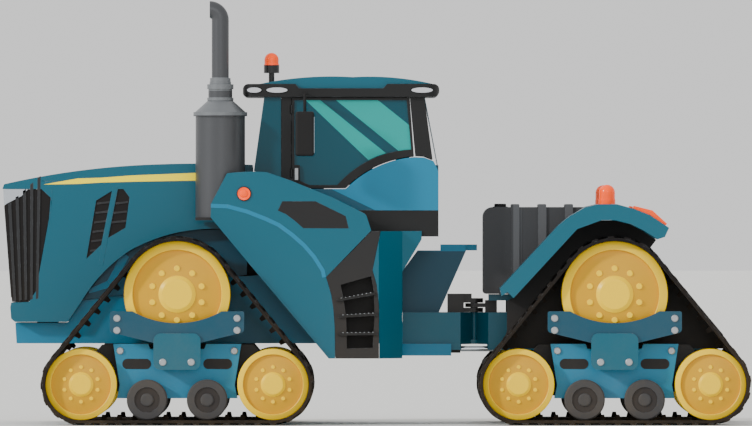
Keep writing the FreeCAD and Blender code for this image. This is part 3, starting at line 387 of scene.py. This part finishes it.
def belt_point(distance, offset):
    """Point and outward normal at a distance round the belt, offset outside the rims."""
    top, low = DRIVE_R, IDLER_R
    slope, legs = belt_legs()
    distance %= sum(legs)
    leg = 0
    while distance > legs[leg]:
        distance -= legs[leg]
        leg += 1
    if leg == 0:
        return (-IDLER_REACH + distance, IDLER_Z - low - offset), (0.0, -1.0)
    if leg in (1, 3, 5):
        centre, radius, begin = {
            1: ((IDLER_REACH, IDLER_Z), low, -math.pi / 2),
            3: ((0.0, AXLE_Z), top, slope),
            5: ((-IDLER_REACH, IDLER_Z), low, math.pi - slope),
        }[leg]
        a = begin + distance / radius
        n = (math.cos(a), math.sin(a))
        return (centre[0] + (radius + offset) * n[0], centre[1] + (radius + offset) * n[1]), n
    a = slope if leg == 2 else math.pi - slope
    n = (math.cos(a), math.sin(a))
    start, radius = (((IDLER_REACH, IDLER_Z), low) if leg == 2 else ((0.0, AXLE_Z), top))
    t = (-n[1], n[0])
    return (start[0] + (radius + offset) * n[0] + t[0] * distance,
            start[1] + (radius + offset) * n[1] + t[1] * distance), n


LUG_COUNT = 46
CARCASS_STEPS = 184


def belt_mesh(x, y):
    """Carcass loop, paired slanted lugs outside, and a row of guide blocks inside."""
    bm = bmesh.new()
    length = sum(belt_legs()[1])
    carcass = BELT_T - LUG_HEIGHT
    section = [(-BELT_HALF, 0.001), (BELT_HALF, 0.001), (BELT_HALF, carcass - 0.006),
               (BELT_HALF - 0.012, carcass), (-BELT_HALF + 0.012, carcass),
               (-BELT_HALF, carcass - 0.006)]
    rings = []
    for i in range(CARCASS_STEPS):
        ring = []
        for across, offset in section:
            (dx, dz), _ = belt_point(length * i / CARCASS_STEPS, offset)
            ring.append(bm.verts.new((x + dx, y + across, dz)))
        rings.append(ring)
    for i in range(CARCASS_STEPS):
        following = rings[(i + 1) % CARCASS_STEPS]
        for k in range(len(section)):
            j = (k + 1) % len(section)
            bm.faces.new((rings[i][k], rings[i][j], following[j], following[k]))
    pitch = length / LUG_COUNT
    lug_len = pitch * 0.46
    for i in range(LUG_COUNT):
        for side in (-1, 1):
            start = i * pitch + (0 if side > 0 else pitch / 2)
            stations = [(0.03, 0.35), (0.16, 0.12), (0.30, 0.0), (BELT_HALF - 0.002, 0.0)]
            previous = None
            for across, lead in stations:
                ring = []
                for along, offset in ((-0.5, carcass - 0.004), (-0.36, BELT_T - 0.001),
                                      (0.36, BELT_T - 0.001), (0.5, carcass - 0.004)):
                    (dx, dz), _ = belt_point(start + lead * pitch + along * lug_len, offset)
                    ring.append(bm.verts.new((x + dx, y + side * across, dz)))
                if previous is None:
                    bm.faces.new(ring)
                else:
                    for k in range(4):
                        j = (k + 1) % 4
                        bm.faces.new((previous[k], previous[j], ring[j], ring[k]))
                previous = ring
            bm.faces.new(list(reversed(previous)))
        ring_low, ring_high = [], []
        for along, offset, width in ((-0.2, 0.0, 0.045), (0.2, 0.0, 0.045), (0.12, -0.055, 0.025),
                                     (-0.12, -0.055, 0.025)):
            (dx, dz), _ = belt_point(i * pitch + along * pitch, offset + 0.002)
            ring_low.append(bm.verts.new((x + dx, y - width, dz)))
            ring_high.append(bm.verts.new((x + dx, y + width, dz)))
        bm.faces.new(ring_low)
        bm.faces.new(list(reversed(ring_high)))
        for k in range(4):
            j = (k + 1) % 4
            bm.faces.new((ring_low[k], ring_high[k], ring_high[j], ring_low[j]))
    return tidy(bm)


def wheels_mesh(x, y):
    bm = bmesh.new()
    add_wheel(bm, x, y, AXLE_Z, (DRIVE_R, 0.445, 0.186, 0.044))
    for face in (-1, 1):
        add_bolts(bm, x, y + face * (WHEEL_FACE - 0.018), AXLE_Z, 10, 0.259, 0.032, 0.014, face)
    for end in (-1, 1):
        ix = x + end * IDLER_REACH
        add_wheel(bm, ix, y, IDLER_Z, (IDLER_R, 0.300, 0.124, 0.034))
        for face in (-1, 1):
            add_bolts(bm, ix, y + face * (WHEEL_FACE - 0.016), IDLER_Z, 10, 0.174, 0.021, 0.012, face)
        for face in (-1, 1):
            rx = x + end * ROLLER_X
            rings = [(0.10, 0.0, 3), (ROLLER_R - 0.001, 0.0, 2), (ROLLER_R - 0.001, 0.112, 2),
                     (ROLLER_R - 0.014, 0.124, 2), (0.127, 0.125, 2), (0.123, 0.112, 3),
                     (0.066, 0.108, 3), (0.062, 0.120, 2), (0.050, 0.124, 2)]
            add_lathe(bm, (rx, y + face * 0.171, 0.253), rings, side=face, segments=48)
    return tidy(bm)


def frame_fittings(x, y):
    """Bolts on the cradle, pad and beam, and the two long slots in the beam as dark sheets of painted
    shade.
    """
    bm = bmesh.new()
    out = 1 if y > 0 else -1
    cradle_y = y + out * 0.330
    pad_y = y + out * 0.356
    beam_y = y + out * 0.170
    for end in (-1, 1):
        for z in (0.945 + 0.003, 1.068):
            add_bolts(bm, x + end * 0.60, cradle_y, z, 1, 0.0, 0.036, 0.016, out)
        add_bolts(bm, x + end * 0.142, pad_y, 0.63, 1, 0.0, 0.036, 0.014, out)
        add_bolts(bm, x + end * 0.57, beam_y, 0.742, 1, 0.0, 0.036, 0.018, out)
        # Painted shade: each slot is a thin dark sheet on the beam face, not a cut, for the shade inside
        # it.
        outline = []
        for i in range(24):
            a = 2 * math.pi * i / 24
            shift = 0.092 if math.cos(a) >= 0 else -0.092
            outline.append((x + end * 0.405 + shift + 0.052 * math.cos(a), 0.611 + 0.052 * math.sin(a)))
        add_prism(bm, outline, beam_y - out * 0.01, beam_y + out * 0.003, 1)
    return tidy(bm)


for end, axle_x in (("front", FRONT_X), ("rear", REAR_X)):
    for side, sign in (("left", 1), ("right", -1)):
        unit = end + "_" + side + "_track"
        belt = add_piece(unit + "_lugged_belt", belt_mesh(axle_x, sign * TRACK_Y), unit,
                         "belt_rubber", belt_black, bevel=0.003)
        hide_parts(unit + "_belt")
        wheels = add_piece(unit + "_turned_wheels", wheels_mesh(axle_x, sign * TRACK_Y), unit,
                           "wheel_paint", yellow, amber, roller_grey, roller_dark)
        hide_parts(unit + "_wheels")
        add_piece(unit + "_fittings", frame_fittings(axle_x, sign * TRACK_Y), unit,
                  "light_paint", bolt_steel, slot_shade_and_inset_grey)
        paint_node(unit + "_frame", track_frame_paint)


# ---- Chassis, axles and hinge ----
# Welded and painted steel: light teal rails and beams, a dark grey hinge head on main teal
# blocks, cast axle housings, and two steering cylinders with dark barrels and bright rods.
def striped(axis, base, other, spans):
    """Colour source: the other colour inside the spans along an axis, the base elsewhere."""
    def build(tree):
        place = node(tree, "TexCoord")
        axes = node(tree, "SeparateXYZ")
        tree.links.new(place.outputs["Object"], axes.inputs[0])
        total = None
        for low_end, high_end in spans:
            above = math_node(tree, "GREATER_THAN", axes.outputs[axis], low_end)
            below = math_node(tree, "LESS_THAN", axes.outputs[axis], high_end)
            inside = math_node(tree, "MULTIPLY", above, below)
            total = inside if total is None else math_node(tree, "MAXIMUM", total, inside)
        mix = node(tree, "Mix", data_type="RGBA")
        mix.inputs[6].default_value = rgb(base) + (1.0,)
        mix.inputs[7].default_value = rgb(other) + (1.0,)
        tree.links.new(total, mix.inputs["Factor"])
        return mix.outputs[2]
    return build


main_teal = finish("main_teal", "#127583", roughness=0.28, dust=0.18, coat=0.5)
light_teal = finish("light_teal", "#3691a8", roughness=0.3, dust=0.3, coat=0.4)
dark_teal = finish("dark_teal", "#0e6474", roughness=0.32, dust=0.25, coat=0.4)
dark_grey = finish("dark_grey", "#414142", roughness=0.5, dust=0.3)
cast_iron = finish("cast_iron", "#3a3b3c", roughness=0.62, dust=0.4, grain=90.0, bump=0.04)
rod_chrome = finish("rod_chrome", "#c4c7ca", roughness=0.14, dust=0.05, metallic=1.0, wear=0.0)


hinge_paint = finish("hinge_paint", "#127583", roughness=0.34, dust=0.3, coat=0.3,
                     colour_source=striped("Z", "#127583", "#414142", [(1.12, 9.0)]))
paint_node("front_frame", light_teal)
paint_node("rear_frame", main_teal)
paint_node("hinge_block", hinge_paint)
paint_node("articulation_yoke", hinge_paint)
paint_node("front_axle", cast_iron)
paint_node("rear_axle", cast_iron)
paint_node("engine_block", cast_iron)
paint_node("engine_shields", dark_teal)
for side in ("left", "right"):
    paint_node(side + "_steering_barrel", dark_grey)
    paint_node(side + "_steering_rod", rod_chrome)
paint_node("drawbar_support", dark_grey)
paint_node("drawbar", cast_iron)

bm = bmesh.new()
for sign in (1, -1):
    pipe = [(2.55, 1.73), (2.48, 1.68), (2.65, 1.38), (2.7, 1.44)]
    add_prism(bm, pipe, sign * 0.479, sign * 0.486)
    elbow = [(2.7, 1.44), (2.65, 1.38), (2.88, 1.31), (2.9, 1.35)]
    add_prism(bm, elbow, sign * 0.449, sign * 0.486)
add_piece("chassis_pipes", tidy(bm), "front_chassis", "light_paint", light_teal, bevel=0.002)


# ---- Hood, grilles and headlamps ----
# Sheet-steel hood panels in main teal with a tapering yellow flash, a black grille under
# slanted slats at the nose, and clear lamps let into the corners.
grille_black = finish("grille_black", "#231f20", roughness=0.6, dust=0.25)
flash_yellow = finish("flash_yellow", "#fff000", roughness=0.3, dust=0.08, coat=0.4, wear=0.1)
lens_clear = finish("lamp_clear", "#c9ccd0", roughness=0.12, dust=0.05, coat=1.0, wear=0.0)
paint_node("hood_top", main_teal)
paint_node("hood_sides", main_teal)
paint_node("hood_grilles", grille_black)
paint_node("headlamps", lens_clear)


HOOD_Y = 0.610
bm = bmesh.new()
flash = [(3.34, 2.406), (2.995, 2.467), (2.76, 2.474), (2.46, 2.497), (1.81, 2.523), (1.81, 2.446),
         (2.46, 2.434), (2.76, 2.426), (2.995, 2.412)]
for sign in (1, -1):
    add_prism(bm, flash, sign * (HOOD_Y - 0.004), sign * (HOOD_Y + 0.002))
add_piece("hood_flash", tidy(bm), "hood", "wheel_paint", flash_yellow)
bm = bmesh.new()
for sign in (1, -1):
    for k in range(5):
        slat = [(3.695 - 0.074 * k, 2.21 + 0.0656 * k), (3.664 - 0.074 * k, 2.23 + 0.0656 * k),
                (3.615 - 0.056 * k, 1.24 + 0.006 * k), (3.64 - 0.056 * k, 1.23 + 0.006 * k)]
        add_prism(bm, slat, sign * (HOOD_Y - 0.008), sign * (HOOD_Y + 0.001))
    for k in range(6):
        z = 2.22 - 0.095 * k
        share = (2.35 - z) / 0.68
        ends = [(2.785 + 0.1 * share, 2.65 + 0.126 * share)]
        if z > 1.95:
            ends.append((2.585 + 0.15 * share, 2.485 + 0.05 * share))
        for start, stop in ends:
            add_prism(bm, [(start, z - 0.015), (stop, z), (stop, z + 0.02), (start, z + 0.005)],
                      sign * (HOOD_Y - 0.012), sign * (HOOD_Y - 0.001))
for k in range(11):
    y = -0.50 + 0.10 * k
    add_prism(bm, [(3.734, 2.15), (3.724, 2.15), (3.656, 1.27), (3.668, 1.27)],
              y - 0.011, y + 0.011)
grille_slat = finish("grille_slat", "#4a4b4d", roughness=0.5, dust=0.25)
add_piece("hood_slats", tidy(bm), "hood", "black_plastic", grille_slat)
bm = bmesh.new()
for sign in (1, -1):
    for seam in ([(3.26, 2.35), (3.248, 2.35), (3.278, 1.99), (3.29, 1.99)],
                 [(2.644, 2.385), (2.602, 2.385), (2.742, 1.593), (2.791, 1.593)]):
        add_prism(bm, seam, sign * (HOOD_Y - 0.006), sign * (HOOD_Y + 0.0015))
add_piece("hood_struts", tidy(bm), "hood", "main_paint", main_teal, bevel=0.001)
for sign, side in ((1, "left"), (-1, "right")):
    bm = bmesh.new()
    glow = [(3.741, 2.335), (3.495, 2.358), (3.56, 2.29), (3.72, 2.208)]
    add_prism(bm, glow, sign * 0.600, sign * (HOOD_Y + 0.001))
    add_piece(side + "_headlamp_lens", tidy(bm), "hood", "lamp_lens", lens_clear, bevel=0.002)


# ---- Cab shell, glass and roof ----
# A welded cab with dark seals round tinted panes, a plastic roof with a lamp rail,
# and light and dark teal skirts; the left door hangs on two hinges.
cab_black = finish("cab_black", "#333435", roughness=0.5, dust=0.15, grain=90.0)
dark_plastic = finish("dark_plastic", "#2b2b2c", roughness=0.62, dust=0.2, grain=140.0, bump=0.04)
roof_teal = finish("roof_teal", "#127583", roughness=0.3, dust=0.15, coat=0.4)
lamp_white = finish("lamp_white", "#d8d9dc", roughness=0.16, dust=0.05, coat=1.0, wear=0.0)
orange_lens = finish("orange_lens", "#ff8c10", roughness=0.18, dust=0.06, coat=1.0, wear=0.0)
# Painted reflection: a pale tint for streaks laid on the glass where light would reflect in it.
glass_reflection_band = finish("glass_reflection_band", "#4baba7", roughness=0.15, dust=0.04, coat=0.6, wear=0.0)


def tinted_glass():
    made = finish("cab_glass", "#2d6570", roughness=0.06, dust=0.08, coat=0.4, wear=0.0, bump=0.001)
    shader = made.node_tree.nodes["Principled BSDF"]
    shader.inputs["Transmission Weight"].default_value = 0.12
    shader.inputs["Metallic"].default_value = 0.0
    return made


def skirt_colour(tree):
    """Light teal cab skirt, dark teal below the slanting seam behind the side panel."""
    place = node(tree, "TexCoord")
    axes = node(tree, "SeparateXYZ")
    tree.links.new(place.outputs["Object"], axes.inputs[0])
    seam_x, seam_z = (0.362, 2.319)
    level_x, level_z = (0.007, 2.147)
    slope = (level_z - seam_z) / (level_x - seam_x)
    along = math_node(tree, "SUBTRACT", axes.outputs["X"], level_x)
    line = math_node(tree, "MAXIMUM", math_node(tree, "MULTIPLY", along, slope), 0.0)
    height = math_node(tree, "SUBTRACT", axes.outputs["Z"], level_z)
    mix = node(tree, "Mix", data_type="RGBA")
    mix.inputs[6].default_value = rgb("#0e6474") + (1.0,)
    mix.inputs[7].default_value = rgb("#3691a8") + (1.0,)
    tree.links.new(math_node(tree, "GREATER_THAN", height, line), mix.inputs["Factor"])
    return mix.outputs[2]


glass = tinted_glass()
skirt_paint = finish("skirt_paint", "#3691a8", roughness=0.3, dust=0.2, coat=0.4,
                     colour_source=skirt_colour)
paint_node("side_panels", main_teal)
paint_node("mudguard_boxes", dark_grey)
paint_node("step_well", dark_grey)
paint_node("cab_steps", cab_black)
paint_node("cab_floor", cab_black)
paint_node("cab_side_walls", skirt_paint)
paint_node("cab_end_walls", dark_teal)
paint_node("cab_posts", cab_black)
paint_node("roof_rail", cab_black)
paint_node("cab_roof", roof_teal)
paint_node("mirrors", dark_plastic)
paint_node("cab_controls", dark_plastic)
paint_node("right_window_frame", cab_black)
paint_node("left_door_frame", cab_black)
for pane in ("windscreen", "rear_window", "right_window_glass", "left_door_glass"):
    paint_node(pane, glass)
deck_paint = finish("deck_paint", "#0e6474", roughness=0.34, dust=0.3, coat=0.3,
                    colour_source=striped("Z", "#0e6474", "#3691a8", [(1.735, 9.0)]))
paint_node("rear_deck", deck_paint)


beacon_finish = finish("beacon_finish", "#ff8c10", roughness=0.2, dust=0.05, coat=0.8, wear=0.0,
                       colour_source=striped("Z", "#ff8c10", "#414142", [(3.4, 3.605)]))
paint_node("cab_beacon", beacon_finish)


# ---- Side panels ----
# Deep painted panels beside the cab, each with a raised crest whose light teal is a painted
# rim highlight, a dark inset and a round marker lamp near its front corner.
PANEL_Y = 1.200


def arc_strip(points, width):
    """Band of even width below a polyline."""
    upper = [Vector(p) for p in points]
    lower = []
    for i, here in enumerate(upper):
        before, after = upper[max(i - 1, 0)], upper[min(i + 1, len(upper) - 1)]
        along = (after - before).normalized()
        lower.append(here + Vector((along.y, -along.x)) * -width)
    return upper, lower


# Painted highlight: the raised crest is real, and its light teal stands in for light catching the rim.
bm = bmesh.new()
crest = [(1.651, 2.213), (1.482, 2.206), (1.289, 2.155), (1.095, 2.079), (0.962, 2.017), (0.829, 1.92),
         (0.707, 1.813), (0.605, 1.696), (0.513, 1.55), (0.5, 1.48)]
upper, lower = arc_strip(crest, 0.04)
for sign in (1, -1):
    for i in range(len(upper) - 1):
        quad = [upper[i], upper[i + 1], lower[i + 1], lower[i]]
        add_prism(bm, [tuple(p) for p in quad], sign * (PANEL_Y - 0.004), sign * (PANEL_Y + 0.003))
bmesh.ops.remove_doubles(bm, verts=bm.verts, dist=0.0005)
add_piece("side_panel_crest_highlight", tidy(bm), "front_chassis", "light_paint", light_teal)
bm = bmesh.new()
inset = [(0.937, 2.237), (0.605, 2.237), (0.304, 2.089), (0.273, 1.966), (0.727, 1.968), (0.819, 2.048),
         (0.901, 2.109), (0.982, 2.145)]
for sign in (1, -1):
    add_prism(bm, inset, sign * (PANEL_Y - 0.004), sign * (PANEL_Y + 0.002))
    lamp_x, lamp_z = (1.321, 2.313)
    add_lathe(bm, (lamp_x, sign * PANEL_Y, lamp_z), [(0.073, -0.01, 0), (0.073, 0.010, 0),
              (0.064, 0.016, 0), (0.041, 0.012, 1), (0.041, 0.012, 1), (0.030, 0.022, 1),
              (0.012, 0.027, 1)], side=sign, segments=40)
add_piece("side_panel_inset", tidy(bm), "front_chassis", "dark_grey_paint", slot_shade_and_inset_grey, orange_lens)


# ---- Door and window trim ----
# Two pale bands of painted reflection across each tinted pane and a pull handle on a dark plate.
for side, sign, body in (("left", 1, "left_door"), ("right", -1, "front_chassis")):
    bm = bmesh.new()
    # Painted reflection: two pale sheets on each pane stand in for light reflected in the glass.
    for band in ([(0.73, 3.275), (0.59, 3.275), (-0.1, 2.72), (-0.01, 2.69), (0.075, 2.65)],
                 [(0.43, 3.275), (0.01, 3.275), (-0.36, 2.98), (-0.37, 2.76), (-0.23, 2.74)]):
        add_prism(bm, band, sign * 0.8435, sign * 0.8455)
    add_piece(side + "_glass_sheen", tidy(bm), body, "cab_glass", glass_reflection_band)
    bm = bmesh.new()
    add_prism(bm, [(0.828, 2.6), (0.764, 2.6), (0.764, 2.42), (0.828, 2.42)],
              sign * 0.858, sign * 0.866, 0)
    add_prism(bm, [(0.814, 2.57), (0.78, 2.57), (0.78, 2.45), (0.814, 2.45)],
              sign * 0.870, sign * 0.882, 1)
    for z in (2.555, 2.465):
        add_lathe(bm, (0.797, sign * 0.862, z), [(0.010, 0.0, 1), (0.010, 0.012, 1)],
                  side=sign, segments=16)
    add_piece(side + "_door_handle", tidy(bm), body, "black_plastic", cab_black, bolt_steel,
              bevel=0.0015)


# ---- Roof lamps, wiper, mirrors and steps ----
# Oval lamps in the roof rail, a two-part wiper on the screen, glass in the mirror heads
# and zinc grip bars across the treads.
bm = bmesh.new()
for sign in (1, -1):
    z = 3.352
    for x, half in ((1.221, 0.071), (0.992, 0.105), (-0.462, 0.107)):
        tall = 0.026
        rim_points, lens_points = [], []
        for i in range(28):
            a = 2 * math.pi * i / 28
            rim_points.append((x + (half + 0.008) * math.cos(a), z + (tall + 0.008) * math.sin(a)))
            lens_points.append((x + half * math.cos(a), z + tall * math.sin(a)))
        add_prism(bm, rim_points, sign * 0.894, sign * 0.906, 0)
        add_prism(bm, lens_points, sign * 0.900, sign * 0.912, 1)
add_piece("roof_lamps", tidy(bm), "front_chassis", "lamp_lens", cab_black, lamp_white, bevel=0.001)
bm = bmesh.new()
screen_low, screen_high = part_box("windscreen")
lean = (screen_high[0] - screen_low[0] - 0.012) / (screen_high[2] - screen_low[2])
WIPER_SPAN = ((2.50, 3.02, 0.006, 0.012), (2.60, 3.10, 0.013, 0.019))
for low_z, high_z, near, far in WIPER_SPAN:
    x_low = screen_high[0] - lean * (low_z - screen_low[2])
    x_high = screen_high[0] - lean * (high_z - screen_low[2])
    add_prism(bm, [(x_low + near, low_z), (x_low + far, low_z), (x_high + far, high_z),
                   (x_high + near, high_z)], -0.14, -0.12)
add_piece("screen_wiper", tidy(bm), "front_chassis", "black_plastic", dark_plastic)
def add_box(bm, low_corner, high_corner):
    """Rectangular block between two opposite corners."""
    (x0, y0, z0), (x1, y1, z1) = low_corner, high_corner
    add_prism(bm, [(x0, z0), (x1, z0), (x1, z1), (x0, z1)], y0, y1)


bm = bmesh.new()
for sign in (1, -1):
    add_box(bm, (0.614, sign * 1.26, 2.72), (0.620, sign * 1.47, 3.08))
mirror_glass = finish("mirror_glass", "#b9c1c6", roughness=0.05, dust=0.06, metallic=0.9, wear=0.0)
add_piece("mirror_faces", tidy(bm), "front_chassis", "black_plastic", mirror_glass)
bm = bmesh.new()
TREAD_LINES = ((1.233, 1.302, -1.60, -1.975), (1.070, 1.095, -1.615, -2.00), (0.894, 0.900, -1.615, -2.00))
for front_z, back_z, front_u, back_u in TREAD_LINES:
    for k in range(1, 9):
        share = k / 9.0
        x = FRONT_X + front_u + (back_u - front_u) * share
        z = front_z + (back_z - front_z) * share + 0.026
        add_box(bm, (x - 0.006, 1.201, z - 0.002), (x + 0.006, 1.222, z + 0.005))
add_piece("step_grips", tidy(bm), "front_chassis", "black_plastic", bolt_steel)


# ---- Exhaust, tank, fenders and lamps ----
# A grey steel stack over a banded silencer, a moulded rib-sided fuel tank, and pressed-steel
# fenders over the rear tracks with small lamps at their tips.
exhaust_grey = finish("exhaust_grey", "#6e6f71", roughness=0.35, dust=0.15, metallic=0.35,
                      colour_source=striped("Z", "#6e6f71", "#939597", [(3.10, 3.28), (3.345, 3.48)]))
tank_grey = finish("tank_grey", "#5c5d5f", roughness=0.55, dust=0.3, grain=110.0, bump=0.03,
                   colour_source=striped("X", "#595a5c", "#727375",
                                         [(-1.47, -1.38), (-1.72, -1.63), (-1.98, -1.90)]))
paint_node("exhaust_stack", exhaust_grey)
paint_node("fuel_tank", tank_grey)
paint_node("rear_fenders", main_teal)
paint_node("fender_liners", dark_grey)
tail_lamp = finish("tail_lamp", "#ff8c10", roughness=0.2, dust=0.1, coat=0.8, wear=0.0)
paint_node("rear_lamps", tail_lamp)


bm = bmesh.new()
add_lathe(bm, (-1.25, 0.24, 2.172), [(0.075, 0.0, 0), (0.075, 0.012, 0), (0.060, 0.014, 0),
          (0.060, 0.036, 0), (0.052, 0.042, 0)], axis="z", segments=32)
add_piece("fuel_cap", tidy(bm), "rear_chassis", "black_plastic", dark_plastic)
bm = bmesh.new()
for sign in (1, -1):
    for x, z in ((-2.6, 2.164), (-2.69, 2.154)):
        add_box(bm, (x - 0.02, sign * 1.13, z - 0.006), (x + 0.02, sign * 1.19, z + 0.004))
add_piece("lamp_feet", tidy(bm), "rear_chassis", "light_paint", light_teal)


# ---- Operator seat ----
# A crowned foam cushion and backrest in dark cloth on a flat plastic pan,
# with a back post and an armrest on one side.
seat_cloth = finish("seat_cloth", "#3b3d40", roughness=0.9, dust=0.1, grain=260.0, bump=0.06, wear=0.0)
seat_low, seat_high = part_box("operator_seat")


def puffed(bm, centre, size, crown, axis):
    """Foam block with rounded sides and a crowned face along the given axis."""
    steps = 18
    grid = {}
    for side in (-1, 1):
        for i in range(steps + 1):
            for j in range(steps + 1):
                a, b = 2 * i / steps - 1, 2 * j / steps - 1
                pull_a = math.copysign(1 - (1 - abs(a)) ** 1.6, a)
                pull_b = math.copysign(1 - (1 - abs(b)) ** 1.6, b)
                swell = ((1 - pull_a ** 4) * (1 - pull_b ** 4)) ** 0.35
                groove = 0.012 * math.exp(-((abs(b) - 0.55) / 0.05) ** 2)
                height = side * (0.5 * swell + crown * swell) - side * groove * swell
                corner = 1 - 0.06 * (abs(a) ** 8) * (abs(b) ** 8)
                spot = [0.0, 0.0, 0.0]
                spot[axis] = height * size[axis]
                others = [k for k in range(3) if k != axis]
                spot[others[0]] = 0.5 * size[others[0]] * pull_a * corner
                spot[others[1]] = 0.5 * size[others[1]] * pull_b * corner
                grid[side, i, j] = bm.verts.new([centre[k] + spot[k] for k in range(3)])
    for side in (-1, 1):
        for i in range(steps):
            for j in range(steps):
                quad = [grid[side, i, j], grid[side, i + 1, j], grid[side, i + 1, j + 1],
                        grid[side, i, j + 1]]
                bm.faces.new(quad if side > 0 else quad[::-1])
    bmesh.ops.remove_doubles(bm, verts=bm.verts, dist=0.0008)


bm = bmesh.new()
mid_x = (seat_low[0] + seat_high[0]) / 2
puffed(bm, (mid_x + 0.07, 0.0, 2.50), (0.50, 0.46, 0.12), 0.06, 2)
cushion = add_piece("seat_cushion", tidy(bm), "front_chassis", "seat_fabric", seat_cloth, smooth=True)
bm = bmesh.new()
puffed(bm, (seat_low[0] + 0.08, 0.0, 2.80), (0.12, 0.44, 0.48), 0.06, 0)
backrest = add_piece("seat_backrest", tidy(bm), "front_chassis", "seat_fabric", seat_cloth, smooth=True)
bm = bmesh.new()
add_box(bm, (seat_low[0] + 0.08, -0.19, 2.37), (seat_high[0] - 0.05, 0.19, 2.44))
add_box(bm, (seat_low[0] + 0.005, -0.03, 2.40), (seat_low[0] + 0.03, 0.03, 2.80))
add_box(bm, (seat_low[0] + 0.02, -0.245, 2.66), (seat_low[0] + 0.40, -0.19, 2.70))
seat_pan = add_piece("seat_pan", tidy(bm), "front_chassis", "black_plastic", dark_plastic, bevel=0.008)
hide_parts("operator_seat")
